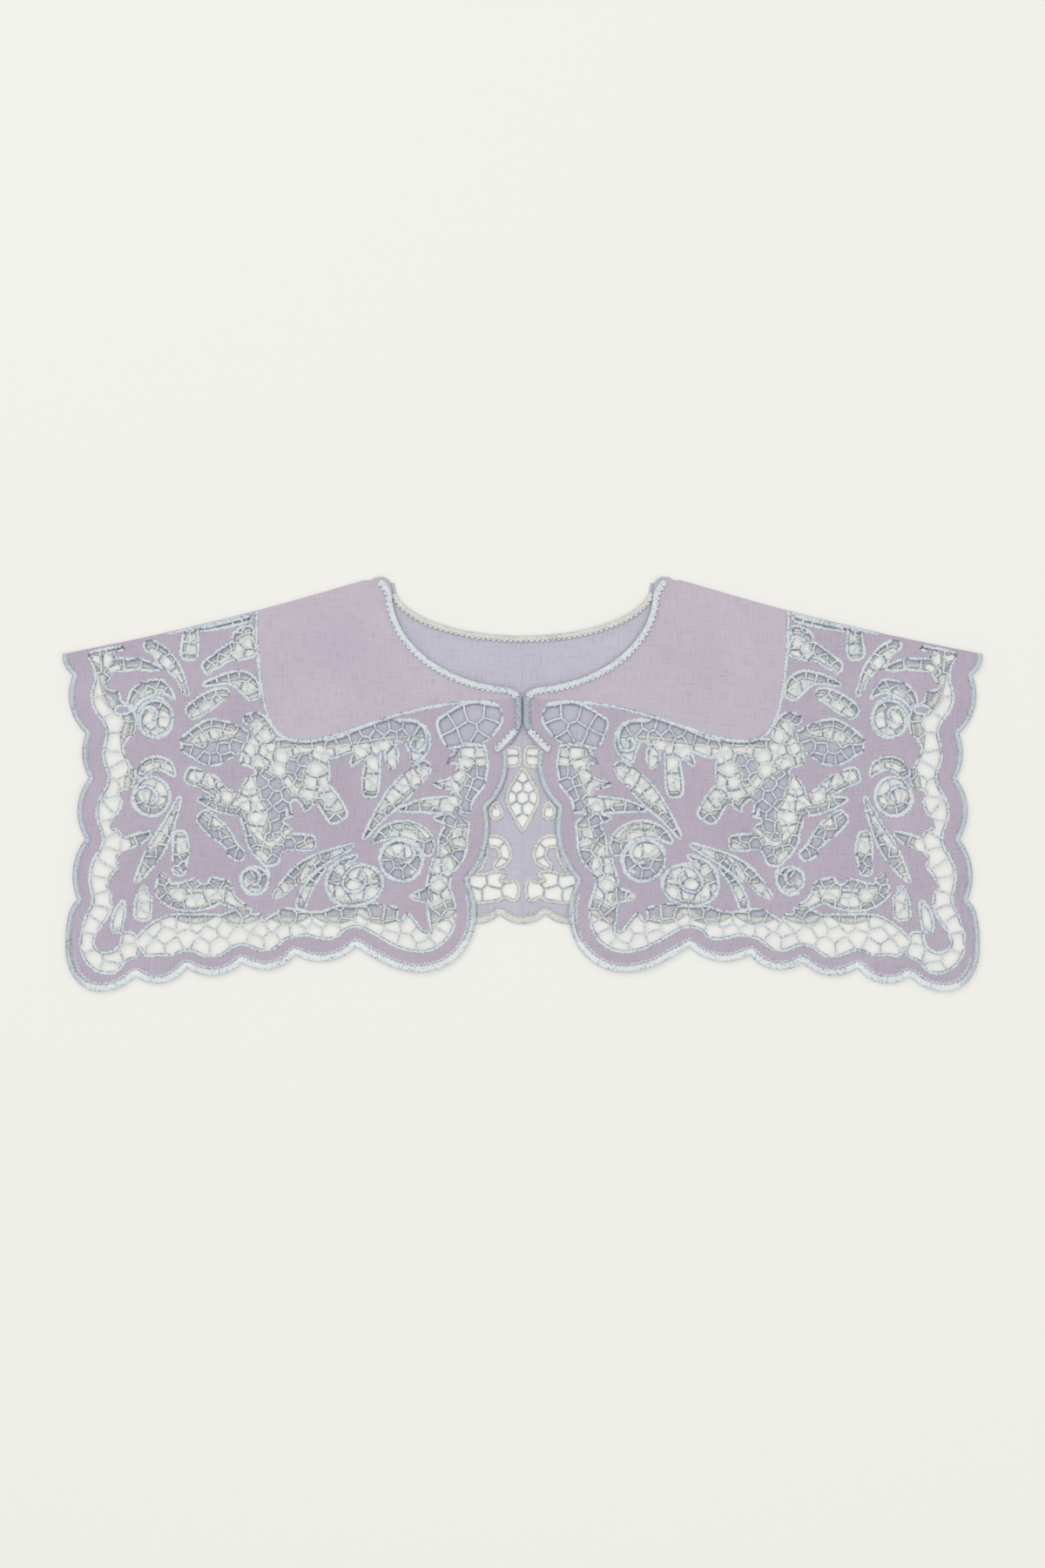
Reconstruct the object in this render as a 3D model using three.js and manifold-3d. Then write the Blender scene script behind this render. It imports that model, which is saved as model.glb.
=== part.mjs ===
// A detachable cutwork collar of linen, laid flat: two front panels folded over at the shoulders
// onto one back panel, with a braid round the neck and down the centre front.
// Millimetres, +X to the viewer's right, +Y from the hem to the shoulders, +Z up off the table.
import * as THREE from "three";
import { mergeVertices } from "three/addons/utils/BufferGeometryUtils.js";
import Module from "manifold-3d";

const wasm = await Module();
wasm.setup();

// ---- driving dimensions, mm ----
const CLOTH = 1.2; // wall of a panel: linen with its corded edges
const PIECE_GAP = 0.3; // between pieces that lie on or meet each other
const BRAID = { wide: 4.4, thick: 0.8, inset: 0.3 }; // neck braid, and how far in from the free edge it lies
const BAR = 1.5; // bars and cords between neighbouring gaps
const CORD = 2.4; // two cords, one along each side of a leaf
const SMALLEST_GAP = 4; // narrower gaps stay uncut
const LADDER_UNDER = 10.5; // ribbons that are nowhere wider have bars straight across
const FRONT_GAPS = 131; // cut in each front, the largest first
const BACK_GAPS = 14; // cut in each half of the back, the largest first
const CURVE_STEP = 3;

const BACK_BOTTOM = 0;
const FRONT_BOTTOM = BACK_BOTTOM + CLOTH + PIECE_GAP;
const SHOULDER_NECK = { u: 87.5, y: 118.3 }; // ends of the fold, where the cloth rolls over furthest
const SHOULDER_TIP = { u: 263.5, y: 75.0 };
const FRONT_NECK = { y: 110, across: 75, deep: 55 }; // ellipse: its centre, half width and depth
const BACK_NECK = { y: 114, across: 73, deep: 28.8 };

// ---- outlines. u is the distance from the centre line ----
// cusps between the scallops of the front's side, from the shoulder down, and the rise of each arc
const SIDE_SCALLOPS = [
  { u: 258, y: 62.5, rise: 2.2 },
  { u: 250.5, y: 29, rise: 5.5 },
  { u: 248.7, y: 3.5, rise: 3.0 },
  { u: 250.7, y: -31.5, rise: 5.6 },
  { u: 255.5, y: -66, rise: 4.8 },
];
// the round outer corner, then the scallops of the hem
const OUTER_CORNER = [
  [255.5, -66], [259.6, -72], [261.7, -81], [262.3, -91], [261.3, -102], [257, -111.5],
  [249.5, -117.6], [240, -119], [230, -116.3], [221.8, -110.5],
];
const HEM_SCALLOPS = [
  { u: 192.5, y: -105.5, rise: 6.3 },
  { u: 160.7, y: -102.5, rise: 6.0 },
  { u: 130.3, y: -98, rise: 6.2 },
  { u: 95.7, y: -93.5, rise: 6.0 },
];
// the round inner corner, then the scallops of the centre edge
const INNER_CORNER = [
  [95.7, -93.5], [84, -100.5], [72, -106], [58, -108.2], [45, -105],
  [34.5, -97], [28.3, -86], [26.5, -75], [27.6, -64], [31, -55],
];
const CENTRE_SCALLOPS = [
  { u: 20.5, y: -13.5, rise: 5.4 },
  { u: 9.2, y: 20, rise: 4.8 },
];
// the straight stretch where the two fronts meet, and the rounding from the neck curve to the fold
const CENTRE_EDGE = [[4.8, 25.8], [1.5, 30.8], [0.6, 34], [0.5, 50], [2.4, 53.6], [6, 55.2]];
const NECK_CORNER = [[75.4, 113.5], [76.4, 117], [79.6, 118.9], [84, 118.6]];
// back, from the centre of the hem outwards and up the side
const BACK_HEM = { first: 13, pitch: 27, count: 7, y: -75, rise: 5.4 };
const BACK_SIDE = [
  { u: 212, y: -61, rise: 4 },
  { u: 219, y: -43, rise: 3.5 },
  { u: 225, y: -19, rise: 4 },
  { u: 226, y: 10, rise: 3.5 },
  { u: 229, y: 38, rise: 3.5 },
  { u: 243, y: 63, rise: 4 },
];

// ---- cutwork. A void is a ribbon of open ground: sections of [u, y, clear width] along its spine.
// cell is the size of its gaps. A ribbon that is wide in places is filled with a net, any other has bars across.
// The thin threads across a leaf-shaped opening are left out, so that it is one gap or two. ----
const FRONT_VOIDS = [
  { name: "side net, upper", cell: 11.5, sections: [[243, 76, 10], [242, 66, 12.5], [243.5, 57.5, 8],
    [240.5, 50, 16], [239.5, 44, 17], [236, 36, 26], [235.5, 30, 23], [237.5, 22, 19], [237.5, 14, 19.5],
    [235, 5, 24], [239.5, -3.5, 15], [239, -10, 16], [241.5, -18, 12], [242.5, -23.5, 9]] },
  { name: "side net, lower", cell: 11.5, sections: [[238.5, -29, 14], [239, -36, 17], [241, -43, 13],
    [240.5, -49.5, 17], [242.5, -56, 13], [243, -61, 10], [242, -66, 14], [243.5, -73, 11], [246, -79, 8],
    [248.5, -84, 7], [249, -91, 8], [246.5, -98, 8.5], [240.5, -102.5, 9.5], [232.5, -101, 10.5],
    [226.5, -95, 11], [226.5, -88, 7]] },
  { name: "hem net", cell: 11.5, sections: [[216, -92, 12], [208, -88.5, 18], [200, -87, 22], [190, -87, 22],
    [180, -87, 22], [170, -87, 22], [160, -84, 23], [150, -84, 22], [140, -82.5, 20], [132, -80, 15],
    [124, -80, 11], [113, -81, 14], [104, -78.5, 15], [96, -77.5, 14], [86, -77, 15], [77, -80, 18],
    [68, -85, 20], [60, -89, 16], [54, -92, 8]] },
  { name: "edge net, low", cell: 11.5, sections: [[48.5, -45, 5], [47.5, -52, 11], [47, -60, 14],
    [46.5, -70, 14], [46, -80, 12], [46.5, -88, 9], [49, -95, 5]] },
  { name: "edge net, low, spike", cell: 11.5, sections: [[50, -63.5, 7], [57, -64, 5], [65, -64.3, 0]] },
  { name: "edge net, middle", cell: 11.5, sections: [[36, -23, 9], [39.5, -31, 14], [40.5, -39, 13.5],
    [43.5, -46, 10]] },
  { name: "edge net, high", cell: 11.5, sections: [[29.5, 19, 14], [28, 12, 14], [30.4, 4, 16.8],
    [30.5, -4, 15.5], [35, -11, 13]] },
  { name: "edge net, spike", cell: 11.5, sections: [[32, 16.5, 7], [38, 14.3, 4.5], [43.5, 12.3, 0]] },
  { name: "yoke fan", cell: 11, sections: [[43.3, 28.5, 18], [36, 31.5, 21], [27, 35, 22],
    [15, 38.5, 17]] },
  { name: "yoke net", cell: 11, sections: [[116, 19.5, 8], [108, 20.5, 8.5], [101, 23, 8],
    [92, 25.2, 11.5], [82, 27.5, 14], [75, 30, 14]] },
  { name: "heart net", cell: 11, sections: [[132, 22.5, 33], [131.5, 14, 36], [131.5, 6, 39],
    [139, -2, 37], [148.5, -10, 28], [148.5, -18, 24], [146, -25, 24], [146, -32, 23], [145.5, -38, 17],
    [144.5, -43.5, 8]] },
  { name: "yoke corner net", cell: 11, sections: [[150, 31, 9], [150.5, 24, 14], [154, 16.5, 14],
    [158, 11.5, 6]] },
  { name: "almond net", cell: 11, sections: [[198.5, 21.6, 0], [190, 22.8, 13.5], [182, 23.3, 23],
    [175, 24, 24.5], [167, 25.3, 18], [160, 25.5, 9.5], [156, 25.5, 5]] },
  { name: "hem ground", cell: 11, sections: [[207, -53, 5], [205.5, -61, 9], [197, -64.5, 13],
    [188, -63.5, 16], [179, -61.5, 16], [172, -62, 12], [166, -67, 6], [160.5, -69.8, 2.5]] },
  { name: "leaf 1", cell: 30, sections: [[207.5, 65.5, 0], [215, 67.5, 3.5], [223, 69, 5], [231, 69, 6.5],
    [237, 68.5, 6]] },
  { name: "leaf 2", cell: 30, sections: [[224, 77, 0.5], [230, 77.9, 2.5], [237, 77.6, 3.5]] },
  { name: "leaf 3", cell: 30, sections: [[214.5, 80, 4.5], [207.5, 74.5, 7], [200, 65.5, 6],
    [195.5, 57, 3], [192, 51, 0]] },
  { name: "leaf 4", cell: 11.5, sections: [[180, 66.5, 6.5], [172, 72, 8], [164, 76.5, 9.5],
    [157, 79, 11]] },
  { name: "leaf 4, upper", cell: 30, sections: [[155.8, 88, 3], [160, 87.3, 3.5], [165, 84.5, 1.5]] },
  { name: "leaf 5", cell: 30, sections: [[182.5, 57, 0], [175, 59.2, 2], [168, 60.6, 4.5],
    [161, 59.5, 8.5], [156.5, 55.5, 9], [154.5, 51, 6]] },
  { name: "leaf 6", cell: 30, sections: [[189.5, 41.3, 6.5], [183, 45.8, 8], [176, 50, 6.5],
    [170.5, 52, 4]] },
  { name: "leaf 7", cell: 30, sections: [[158, 37, 3.5], [152.5, 36.8, 6.5], [148, 32, 6]] },
  { name: "leaf 8", cell: 30, sections: [[190, 4.7, 7.5], [183, 2.3, 7.8], [176, -2, 7.5], [168, -6, 5]] },
  { name: "leaf 9", cell: 30, sections: [[186, -8.7, 0], [177, -11, 5], [167, -13.5, 6.5],
    [160, -14.5, 5]] },
  { name: "leaf 10", cell: 30, sections: [[183, -19.3, 7], [177.3, -24.3, 8.3], [171.3, -30.3, 7.5],
    [167, -37, 6], [162, -41, 5]] },
  { name: "leaf 11", cell: 30, sections: [[55.5, 9.3, 6.5], [61.5, 4.7, 8.3], [70.8, -5, 9.3],
    [76.8, -12, 7.4], [83.3, -20, 3.6], [90.8, -31, 0]] },
  { name: "leaf 12", cell: 30, sections: [[36, 1.5, 6], [43, -0.2, 3.2], [53, -0.8, 0]] },
  { name: "leaf 13", cell: 30, sections: [[40, -12, 8], [47, -12.2, 7], [58, -12.6, 5],
    [70.5, -14.8, 0]] },
  { name: "leaf 14", cell: 30, sections: [[38, -20, 6], [43, -20, 4], [50, -19.7, 0]] },
  { name: "leaf 15", cell: 30, sections: [[213.5, -28, 0], [219, -31, 3.5], [225, -33.5, 4.5],
    [232.5, -36, 5]] },
  { name: "leaf 16", cell: 30, sections: [[196.5, -8, 0], [200.5, -18, 2.8], [205, -28, 5.6],
    [210.5, -38, 7], [215.8, -47, 5], [221.8, -57, 0]] },
  { name: "leaf 17", cell: 30, sections: [[196.5, -29.5, 5], [196, -36, 7], [196, -43, 7],
    [197, -50, 5]] },
  { name: "leaf 18", cell: 30, sections: [[229, -67.5, 0], [231, -74, 4], [232.5, -81, 4.5],
    [232.5, -85, 3]] },
  { name: "leaf 19", cell: 30, sections: [[97, -35, 0], [106, -39, 2.8], [115, -43, 5], [125, -49, 7.2],
    [134, -57, 5.8], [142, -65, 1.5]] },
  { name: "leaf 20", cell: 30, sections: [[113.5, -48, 0], [120, -55, 2], [124.8, -63, 3.5],
    [127, -70, 3.5]] },
  { name: "drop 1", cell: 30, sections: [[190.3, 88.5, 4.5], [190.6, 81.5, 7], [191.3, 74.5, 7.5]] },
  { name: "drop 2", cell: 30, sections: [[118.5, 1, 5], [115, -4.5, 9], [110.5, -11, 10.3],
    [106.3, -18, 10]] },
  { name: "drop 3", cell: 30, sections: [[86, 17.5, 6.5], [86.2, 10, 6.5], [87, 2, 7.5],
    [87.5, -4.5, 7]] },
  { name: "drop 3, right", cell: 30, sections: [[90.5, 18, 3.5], [95, 15.5, 3], [98, 11, 0]] },
  { name: "drop 4", cell: 30, sections: [[75, 18.5, 5.5], [75, 13, 4.5], [74.3, 8, 1]] },
  { name: "drop 5", cell: 30, sections: [[62, 31, 5], [59, 26, 7], [60, 19.5, 7], [62.5, 15.5, 2]] },
  { name: "drop 6", cell: 30, sections: [[216.5, -60, 4.5], [217.3, -67, 7], [217.8, -75, 7.5]] },
  { name: "drop 7", cell: 30, sections: [[121.5, -33.8, 6.5], [128, -33.5, 7], [134, -33, 7]] },
  { name: "crescent 1", cell: 30, sections: [[197.5, 47, 0], [201, 53.5, 4.5], [207.5, 56, 5.5],
    [215, 55, 6.5], [221, 51, 6], [223.5, 46.5, 4]] },
  { name: "crescent 2", cell: 30, sections: [[200, 5, 0], [203.5, 10, 4], [209, 12, 5], [215, 10.5, 5.5],
    [218.8, 6, 4]] },
  { name: "crescent 3", cell: 30, sections: [[85.5, -33.3, 0], [79, -28.3, 5], [70, -26, 7.5],
    [61, -28, 8], [55, -34, 7.5], [54.5, -39, 4]] },
  { name: "crescent 4", cell: 30, sections: [[95.5, -41.5, 0], [102, -45, 3], [107.5, -51, 5.5],
    [109, -58, 5]] },
];
// scrolls: open ground that winds in on itself; radius and clear width at both ends, angles in degrees
const FRONT_SCROLLS = [
  { name: "scroll 1", cell: 10, u: 69.8, y: -44, radius: [9.3, 4.3], angle: [150, 600], wide: [7, 3] },
  { name: "scroll 2", cell: 10, u: 96.3, y: -57.8, radius: [12.6, 4.2], angle: [80, 590], wide: [8, 3.5] },
  { name: "scroll 3", cell: 10, u: 153.8, y: -55.6, radius: [8.3, 4], angle: [60, 420], wide: [6.5, 3] },
  { name: "scroll 4", cell: 10, u: 210.6, y: 37, radius: [8.2, 3.8], angle: [80, -320], wide: [6.8, 3] },
  { name: "scroll 5", cell: 10, u: 212.6, y: -7, radius: [9.8, 4.3], angle: [100, 560], wide: [7.5, 3.2] },
];
// leaves of linen left standing in the open ground, as sections of [u, y, width between their cords]
const FRONT_LEAVES = [
  { name: "shoulder arch", sections: [[196.3, 46, 3], [198, 53, 2.8], [201.5, 59, 3.6], [206, 62.4, 3.4],
    [212, 62.4, 2.6], [219, 61.7, 4.6], [225, 60.3, 6.2], [229.5, 57.4, 4], [234, 56, 3],
    [238.3, 55.6, 0.6]] },
  { name: "shoulder leaf", sections: [[212.5, 72.2, 0.4], [218.5, 74.2, 1.8], [224, 75.3, 4.4],
    [228, 74.4, 3], [232.3, 74.4, 0.8]] },
  { name: "shoulder leaf, lobe", sections: [[224, 75.5, 4], [225.2, 79, 3.8], [228.2, 80.4, 1]] },
  { name: "side lobe", sections: [[200, 23.8, 9.5], [206, 21.3, 8], [212, 20.6, 6.6], [217.5, 21.6, 10.5],
    [222, 20, 13], [224.5, 18.5, 9]] },
  { name: "side lobe, tip", sections: [[221.6, 20, 8], [222.8, 14.5, 6], [222.3, 10.8, 3]] },
  { name: "small leaf, side", sections: [[226.3, 42.6, 1.6], [230, 42.6, 2.8], [232, 42, 2]] },
  { name: "small leaf, side 2", sections: [[226.2, -4.6, 1.2], [230, -5.6, 2]] },
  { name: "yoke leaf", sections: [[152.8, 43.3, 1.4], [157, 43.6, 4.4], [163.5, 42.6, 6.2],
    [170, 41.2, 4.6], [178.2, 40.4, 1]] },
  { name: "yoke leaf, top", sections: [[164.6, 51, 3.6], [166, 47, 5], [165.8, 42.5, 6]] },
  { name: "yoke leaf, foot", sections: [[166.5, 41.5, 6], [163.8, 37.4, 5], [161.5, 33.8, 0.8]] },
  { name: "sprig", sections: [[165.6, 69, 2], [169, 67.3, 3], [172.5, 65.4, 1.4], [177.2, 63.2, 1.8]] },
  { name: "almond leaf", sections: [[154.4, 6.8, 1.6], [160, 7.6, 4.4], [167, 8.4, 6.4], [174, 8.2, 3.4],
    [182, 8.4, 0.8]] },
  { name: "almond leaf, top", sections: [[163.2, 15, 1], [166, 12, 4], [168, 8.5, 6]] },
  { name: "almond leaf, foot", sections: [[168, 8, 6], [167.5, 3, 5], [167.2, -0.3, 4.6],
    [165.5, -2.1, 2.4]] },
  { name: "lower bough, tip 1", sections: [[182, -34.5, 8], [176, -37.5, 6.6], [170.2, -38.7, 0.8]] },
  { name: "lower bough, tip 2", sections: [[180, -45, 9], [175.5, -49.3, 7], [170.4, -53, 2]] },
  { name: "lower bough, tip 3", sections: [[181, -46, 9], [182.5, -51, 6.4], [183, -55.3, 4]] },
  { name: "lower bough, tip 4", sections: [[186, -42, 8], [189, -46, 6], [191.2, -49.4, 1]] },
  { name: "side leaf 1", sections: [[209.5, -22.2, 1], [215, -22.4, 2.8], [220, -22.9, 6],
    [226, -22.3, 9], [230, -21.7, 4], [234.5, -21.2, 1.6]] },
  { name: "side leaf 1, lobe", sections: [[224.5, -20, 4], [227.6, -16.6, 0.6]] },
  { name: "side leaf 2", sections: [[216.6, -36.2, 1], [220, -38.2, 4.2], [223.5, -40.4, 5],
    [227.5, -41.6, 3.6], [231.5, -42.6, 1]] },
  { name: "side leaf 3", sections: [[225.8, -47.6, 1.6], [229, -51.2, 6], [231.6, -55.4, 8],
    [232.4, -59, 7.6]] },
  { name: "side leaf 3, lobe", sections: [[232, -57, 4], [237, -58.7, 1]] },
  { name: "side leaf 3, tip", sections: [[231.4, -60, 5], [233.2, -64.5, 3.2], [234.2, -69, 0.6]] },
  { name: "side leaf 4", sections: [[219.6, -58, 1], [222.4, -60.4, 2.8], [226.4, -63.4, 4]] },
  { name: "hem leaf", sections: [[203, -39.4, 1], [203.8, -43, 3.4], [204.6, -46.6, 5.6],
    [203, -50.4, 1.6]] },
  { name: "hem leaf, stem", sections: [[206.5, -45.6, 2.6], [210.4, -50, 2.8], [213.2, -54, 4],
    [217.6, -56.2, 0.8]] },
  { name: "hem leaf, tip", sections: [[212, -53, 3.6], [212.6, -58, 2.8], [213.6, -61.6, 2]] },
  { name: "corner leaf", sections: [[231.2, -86, 0.8], [233.6, -90.6, 3.6], [237.5, -92.4, 6.4],
    [241, -90.6, 8.4], [241.4, -88, 5]] },
  { name: "hem sprig", sections: [[163.2, -56.2, 1.2], [163.4, -60, 2.8], [161.4, -64, 3.4],
    [157, -66.6, 2.8], [152, -66.4, 2.8]] },
  { name: "hem bough", sections: [[128.4, -58.4, 0.6], [132, -63, 2], [135.4, -67, 3.8],
    [140, -69.2, 3.6], [144.6, -71.6, 5.6], [147, -74.4, 3], [148.4, -77.6, 0.6]] },
  { name: "hem bough, tip", sections: [[145, -70.4, 4], [149.6, -71.6, 3], [155, -73.4, 0.8]] },
  { name: "heart leaf 1", sections: [[128.8, -41.6, 1], [131.6, -42.8, 3.6]] },
  { name: "heart leaf 2", sections: [[136.2, -49.4, 1], [140, -51.2, 3], [143.2, -51.4, 1.6]] },
  { name: "middle bough, tip", sections: [[128, -21, 6], [132, -21.3, 3.4], [136.4, -21.5, 0.8]] },
  { name: "middle bough, lobe", sections: [[129, -15, 5], [131, -11, 2.6]] },
  { name: "star leaf", sections: [[55.6, -83.4, 1], [59, -78, 2.4], [63, -72.6, 3.2], [67, -68, 4.4],
    [71, -63.4, 6], [74.4, -59.4, 4.4], [75.8, -56.4, 1]] },
  { name: "star leaf, tip 1", sections: [[61, -57.6, 1.8], [65.5, -60.5, 2.8], [70, -64, 5]] },
  { name: "star leaf, tip 2", sections: [[74, -62, 5], [77, -66, 4], [79.3, -68.4, 1.6]] },
  { name: "star leaf, tip 3", sections: [[67, -68, 3.6], [69, -73, 2.4], [70.3, -77.2, 1.4]] },
  { name: "fan leaf 1", sections: [[42.6, 19.8, 1], [45, 16, 3.2], [47.4, 12, 5], [48.2, 8, 6],
    [50.5, 4.6, 4.6], [53, 1.4, 1.6]] },
  { name: "fan leaf 1, tip", sections: [[38.9, 10.3, 1.8], [42, 8.6, 3.2], [46.5, 6.2, 5]] },
  { name: "fan leaf 2", sections: [[44, -5.2, 1.2], [49, -4, 2.2], [54, -3, 4.4], [58.4, -3.9, 4],
    [60.4, -5, 2]] },
  { name: "fan leaf 2, lobe", sections: [[54.2, -2.2, 3], [54.6, 0.4, 0.6]] },
  { name: "drop leaf", sections: [[67.2, 18.8, 1.4], [68, 14, 2.8], [68, 10.6, 4], [71.4, 7.2, 3.2],
    [75.4, 4.5, 3.2], [78, 1.4, 2.6], [78.9, -2.2, 0.8]] },
  { name: "drop leaf, tip 1", sections: [[78.4, 10.2, 1.6], [78.2, 6, 2.2], [77, 3.2, 2.8]] },
  { name: "drop leaf, tip 2", sections: [[64.8, 11.2, 1.4], [68.2, 9.6, 3.6]] },
];
const BACK_VOIDS = [
  { name: "yoke net", cell: 8, sections: [[3.7, 15.7, 11.5], [20, 16, 11.5], [34, 16, 11.5]] },
  { name: "teardrop", cell: 6.5, sections: [[15, -10.5, 2], [15.2, -15, 7], [15, -18, 7]] },
  { name: "scroll", cell: 6, sections: [[19, -32.8, 6.5], [12.5, -34, 6.5], [9.8, -42, 6.5], [15.5, -47.6, 4]] },
  { name: "hem net, centre", cell: 7.5, sections: [
    [31, -65.5, 8], [23, -63, 10], [14, -57.5, 14], [7.5, -60.5, 11], [4, -65.5, 4]] },
];
// under the fronts the back repeats their pattern, shorter below a height, within straight limits
const BACK_REPEAT = { narrower: 0.995, shorter: 0.8, first: 25, own: 21, from: 36, side: 203, hem: -66 };
const BACK_LEAVES = [
  { name: "stem leaf", sections: [[2.5, -52, 3], [8, -54, 4.5], [13.5, -55.5, 0]] },
];
// the back's medallion: a rosette of one cell in the middle, a ring of others, and one above and below
const MEDALLION = {
  sections: [[0, 8.8, 1.5], [0, 3, 8.5], [0, -7, 18.5], [0, -16, 13], [0, -28, 0]],
  middle: -7.6, ring: 7.2, ringCells: 6, top: 4.2, bottom: -21,
};

// ---- plane geometry ----
const between = (a, b, t) => a + (b - a) * t;
const distance = (a, b) => Math.hypot(a[0] - b[0], a[1] - b[1]);
const mirrored = (points) => points.map(([x, y]) => [-x, y]).reverse();

// points after a, up to b, on an arc that rises to the left of the chord
function arcTo(a, b, rise) {
  const chord = distance(a, b);
  const along = [(b[0] - a[0]) / chord, (b[1] - a[1]) / chord];
  const turn = 4 * Math.atan((2 * rise) / chord);
  const radius = chord / (2 * Math.sin(turn / 2));
  const steps = Math.max(4, Math.round((Math.abs(turn) * Math.abs(radius)) / (2 * CURVE_STEP)));
  const points = [];
  for (let k = 1; k <= steps; k++) {
    const angle = turn * (k / steps - 0.5);
    const x = radius * Math.sin(angle);
    const off = radius * (Math.cos(angle) - Math.cos(turn / 2));
    points.push([
      (a[0] + b[0]) / 2 + along[0] * x - along[1] * off,
      (a[1] + b[1]) / 2 + along[1] * x + along[0] * off,
    ]);
  }
  return points;
}

// Catmull-Rom through the given rows, all of whose columns are interpolated
function smoothed(rows, step) {
  const points = [];
  const last = rows.length - 1;
  for (let i = 0; i < last; i++) {
    const b = rows[i];
    const c = rows[i + 1];
    const a = i > 0 ? rows[i - 1] : b.map((v, k) => 2 * v - c[k]);
    const d = i < last - 1 ? rows[i + 2] : c.map((v, k) => 2 * v - b[k]);
    const steps = Math.max(2, Math.round(distance(b, c) / step));
    for (let j = 0; j < steps; j++) {
      const t = j / steps;
      points.push(b.map((v, k) => 0.5 * (2 * v + (c[k] - a[k]) * t
        + (2 * a[k] - 5 * v + 4 * c[k] - d[k]) * t * t
        + (3 * v - a[k] - 3 * c[k] + d[k]) * t * t * t)));
    }
  }
  points.push([...rows[last]]);
  return points;
}

const spineOf = (sections) =>
  smoothed(sections, CURVE_STEP).map(([u, y, wide]) => [u, y, Math.max(wide, 0)]);

function scrollSpine({ u, y, radius, angle, wide }) {
  const steps = Math.max(16, Math.round(Math.abs(angle[1] - angle[0]) / 18));
  const spine = [];
  for (let i = 0; i <= steps; i++) {
    const t = i / steps;
    const a = THREE.MathUtils.degToRad(between(angle[0], angle[1], t));
    const r = between(radius[0], radius[1], t);
    const clear = between(wide[0], wide[1], t) * Math.min(1, 0.1 + 4 * t);
    spine.push([u + r * Math.cos(a), y + r * Math.sin(a), clear]);
  }
  return spine;
}

// unit normals to the left of a spine
function normalsOf(spine) {
  return spine.map((_, i) => {
    const a = spine[Math.max(i - 1, 0)];
    const b = spine[Math.min(i + 1, spine.length - 1)];
    const long = distance(a, b) || 1;
    return [-(b[1] - a[1]) / long, (b[0] - a[0]) / long];
  });
}

// one long side of a ribbon: side is 1 for the left and -1 for the right
function railOf(spine, side) {
  const normals = normalsOf(spine);
  return spine.map(([x, y, wide], i) => [
    x + (side * normals[i][0] * wide) / 2,
    y + (side * normals[i][1] * wide) / 2,
  ]);
}

// the squarish round end of a ribbon, from its left side to its right
const CAP = { share: 0.6, most: 2.6, power: 0.7 };
function capOf(spine, atEnd) {
  const index = atEnd ? spine.length - 1 : 0;
  const [x, y, wide] = spine[index];
  const [nx, ny] = normalsOf(spine)[index];
  const sign = atEnd ? 1 : -1;
  const reach = Math.min((wide / 2) * CAP.share, CAP.most);
  const steps = wide > 5 ? 4 : 2;
  const points = [];
  for (let k = 1; k < steps; k++) {
    const a = (Math.PI * k) / steps;
    const side = Math.sign(Math.cos(a)) * Math.abs(Math.cos(a)) ** CAP.power * (wide / 2);
    const out = Math.sin(a) ** CAP.power * reach * sign;
    points.push([x + nx * side + ny * out, y + ny * side - nx * out]);
  }
  return points;
}

const ribbonOutline = (spine) => [
  ...railOf(spine, 1), ...capOf(spine, true),
  ...railOf(spine, -1).reverse(), ...capOf(spine, false).reverse(),
];

// a small fixed irregularity between -0.5 and 0.5, so that the bars look hand laid
function wobble(i, k) {
  const v = Math.sin(12.9898 * (i + 1) + 78.233 * (k + 1)) * 43758.5453;
  return v - Math.floor(v) - 0.5;
}

// running lengths along a spine, and the fractional index at one of them
function lengthsOf(spine) {
  const sums = [0];
  for (let i = 1; i < spine.length; i++) sums.push(sums[i - 1] + distance(spine[i - 1], spine[i]));
  return sums;
}
function indexAt(sums, length) {
  let j = 1;
  while (j < sums.length - 1 && sums[j] < length) j++;
  return j - 1 + Math.min(Math.max((length - sums[j - 1]) / (sums[j] - sums[j - 1] || 1), 0), 1);
}

function stretchOf(points, from, to) {
  const pointAt = (f) => {
    const i = Math.min(Math.floor(f), points.length - 2);
    return [0, 1].map((k) => between(points[i][k], points[i + 1][k], f - i));
  };
  const middle = [];
  for (let i = Math.ceil(from + 0.3); i <= Math.floor(to - 0.3); i++) middle.push(points[i]);
  return [pointAt(from), ...middle, pointAt(to)];
}

// gaps between bars that run straight across a ribbon
function ladderGaps(spine, cell) {
  const sums = lengthsOf(spine);
  const total = sums[sums.length - 1];
  const count = Math.max(1, Math.round(total / cell));
  const left = railOf(spine, 1);
  const right = railOf(spine, -1);
  const marks = [0];
  for (let i = 1; i < count; i++) marks.push(((i + wobble(i, count) * 0.35) * total) / count);
  marks.push(total);
  const gaps = [];
  for (let i = 0; i < count; i++) {
    const from = indexAt(sums, marks[i] + (i > 0 ? BAR / 2 : 0));
    const to = indexAt(sums, marks[i + 1] - (i < count - 1 ? BAR / 2 : 0));
    gaps.push([
      ...stretchOf(left, from, to),
      ...(i === count - 1 ? capOf(spine, true) : []),
      ...stretchOf(right, from, to).reverse(),
      ...(i === 0 ? capOf(spine, false).reverse() : []),
    ]);
  }
  return gaps;
}

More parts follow.
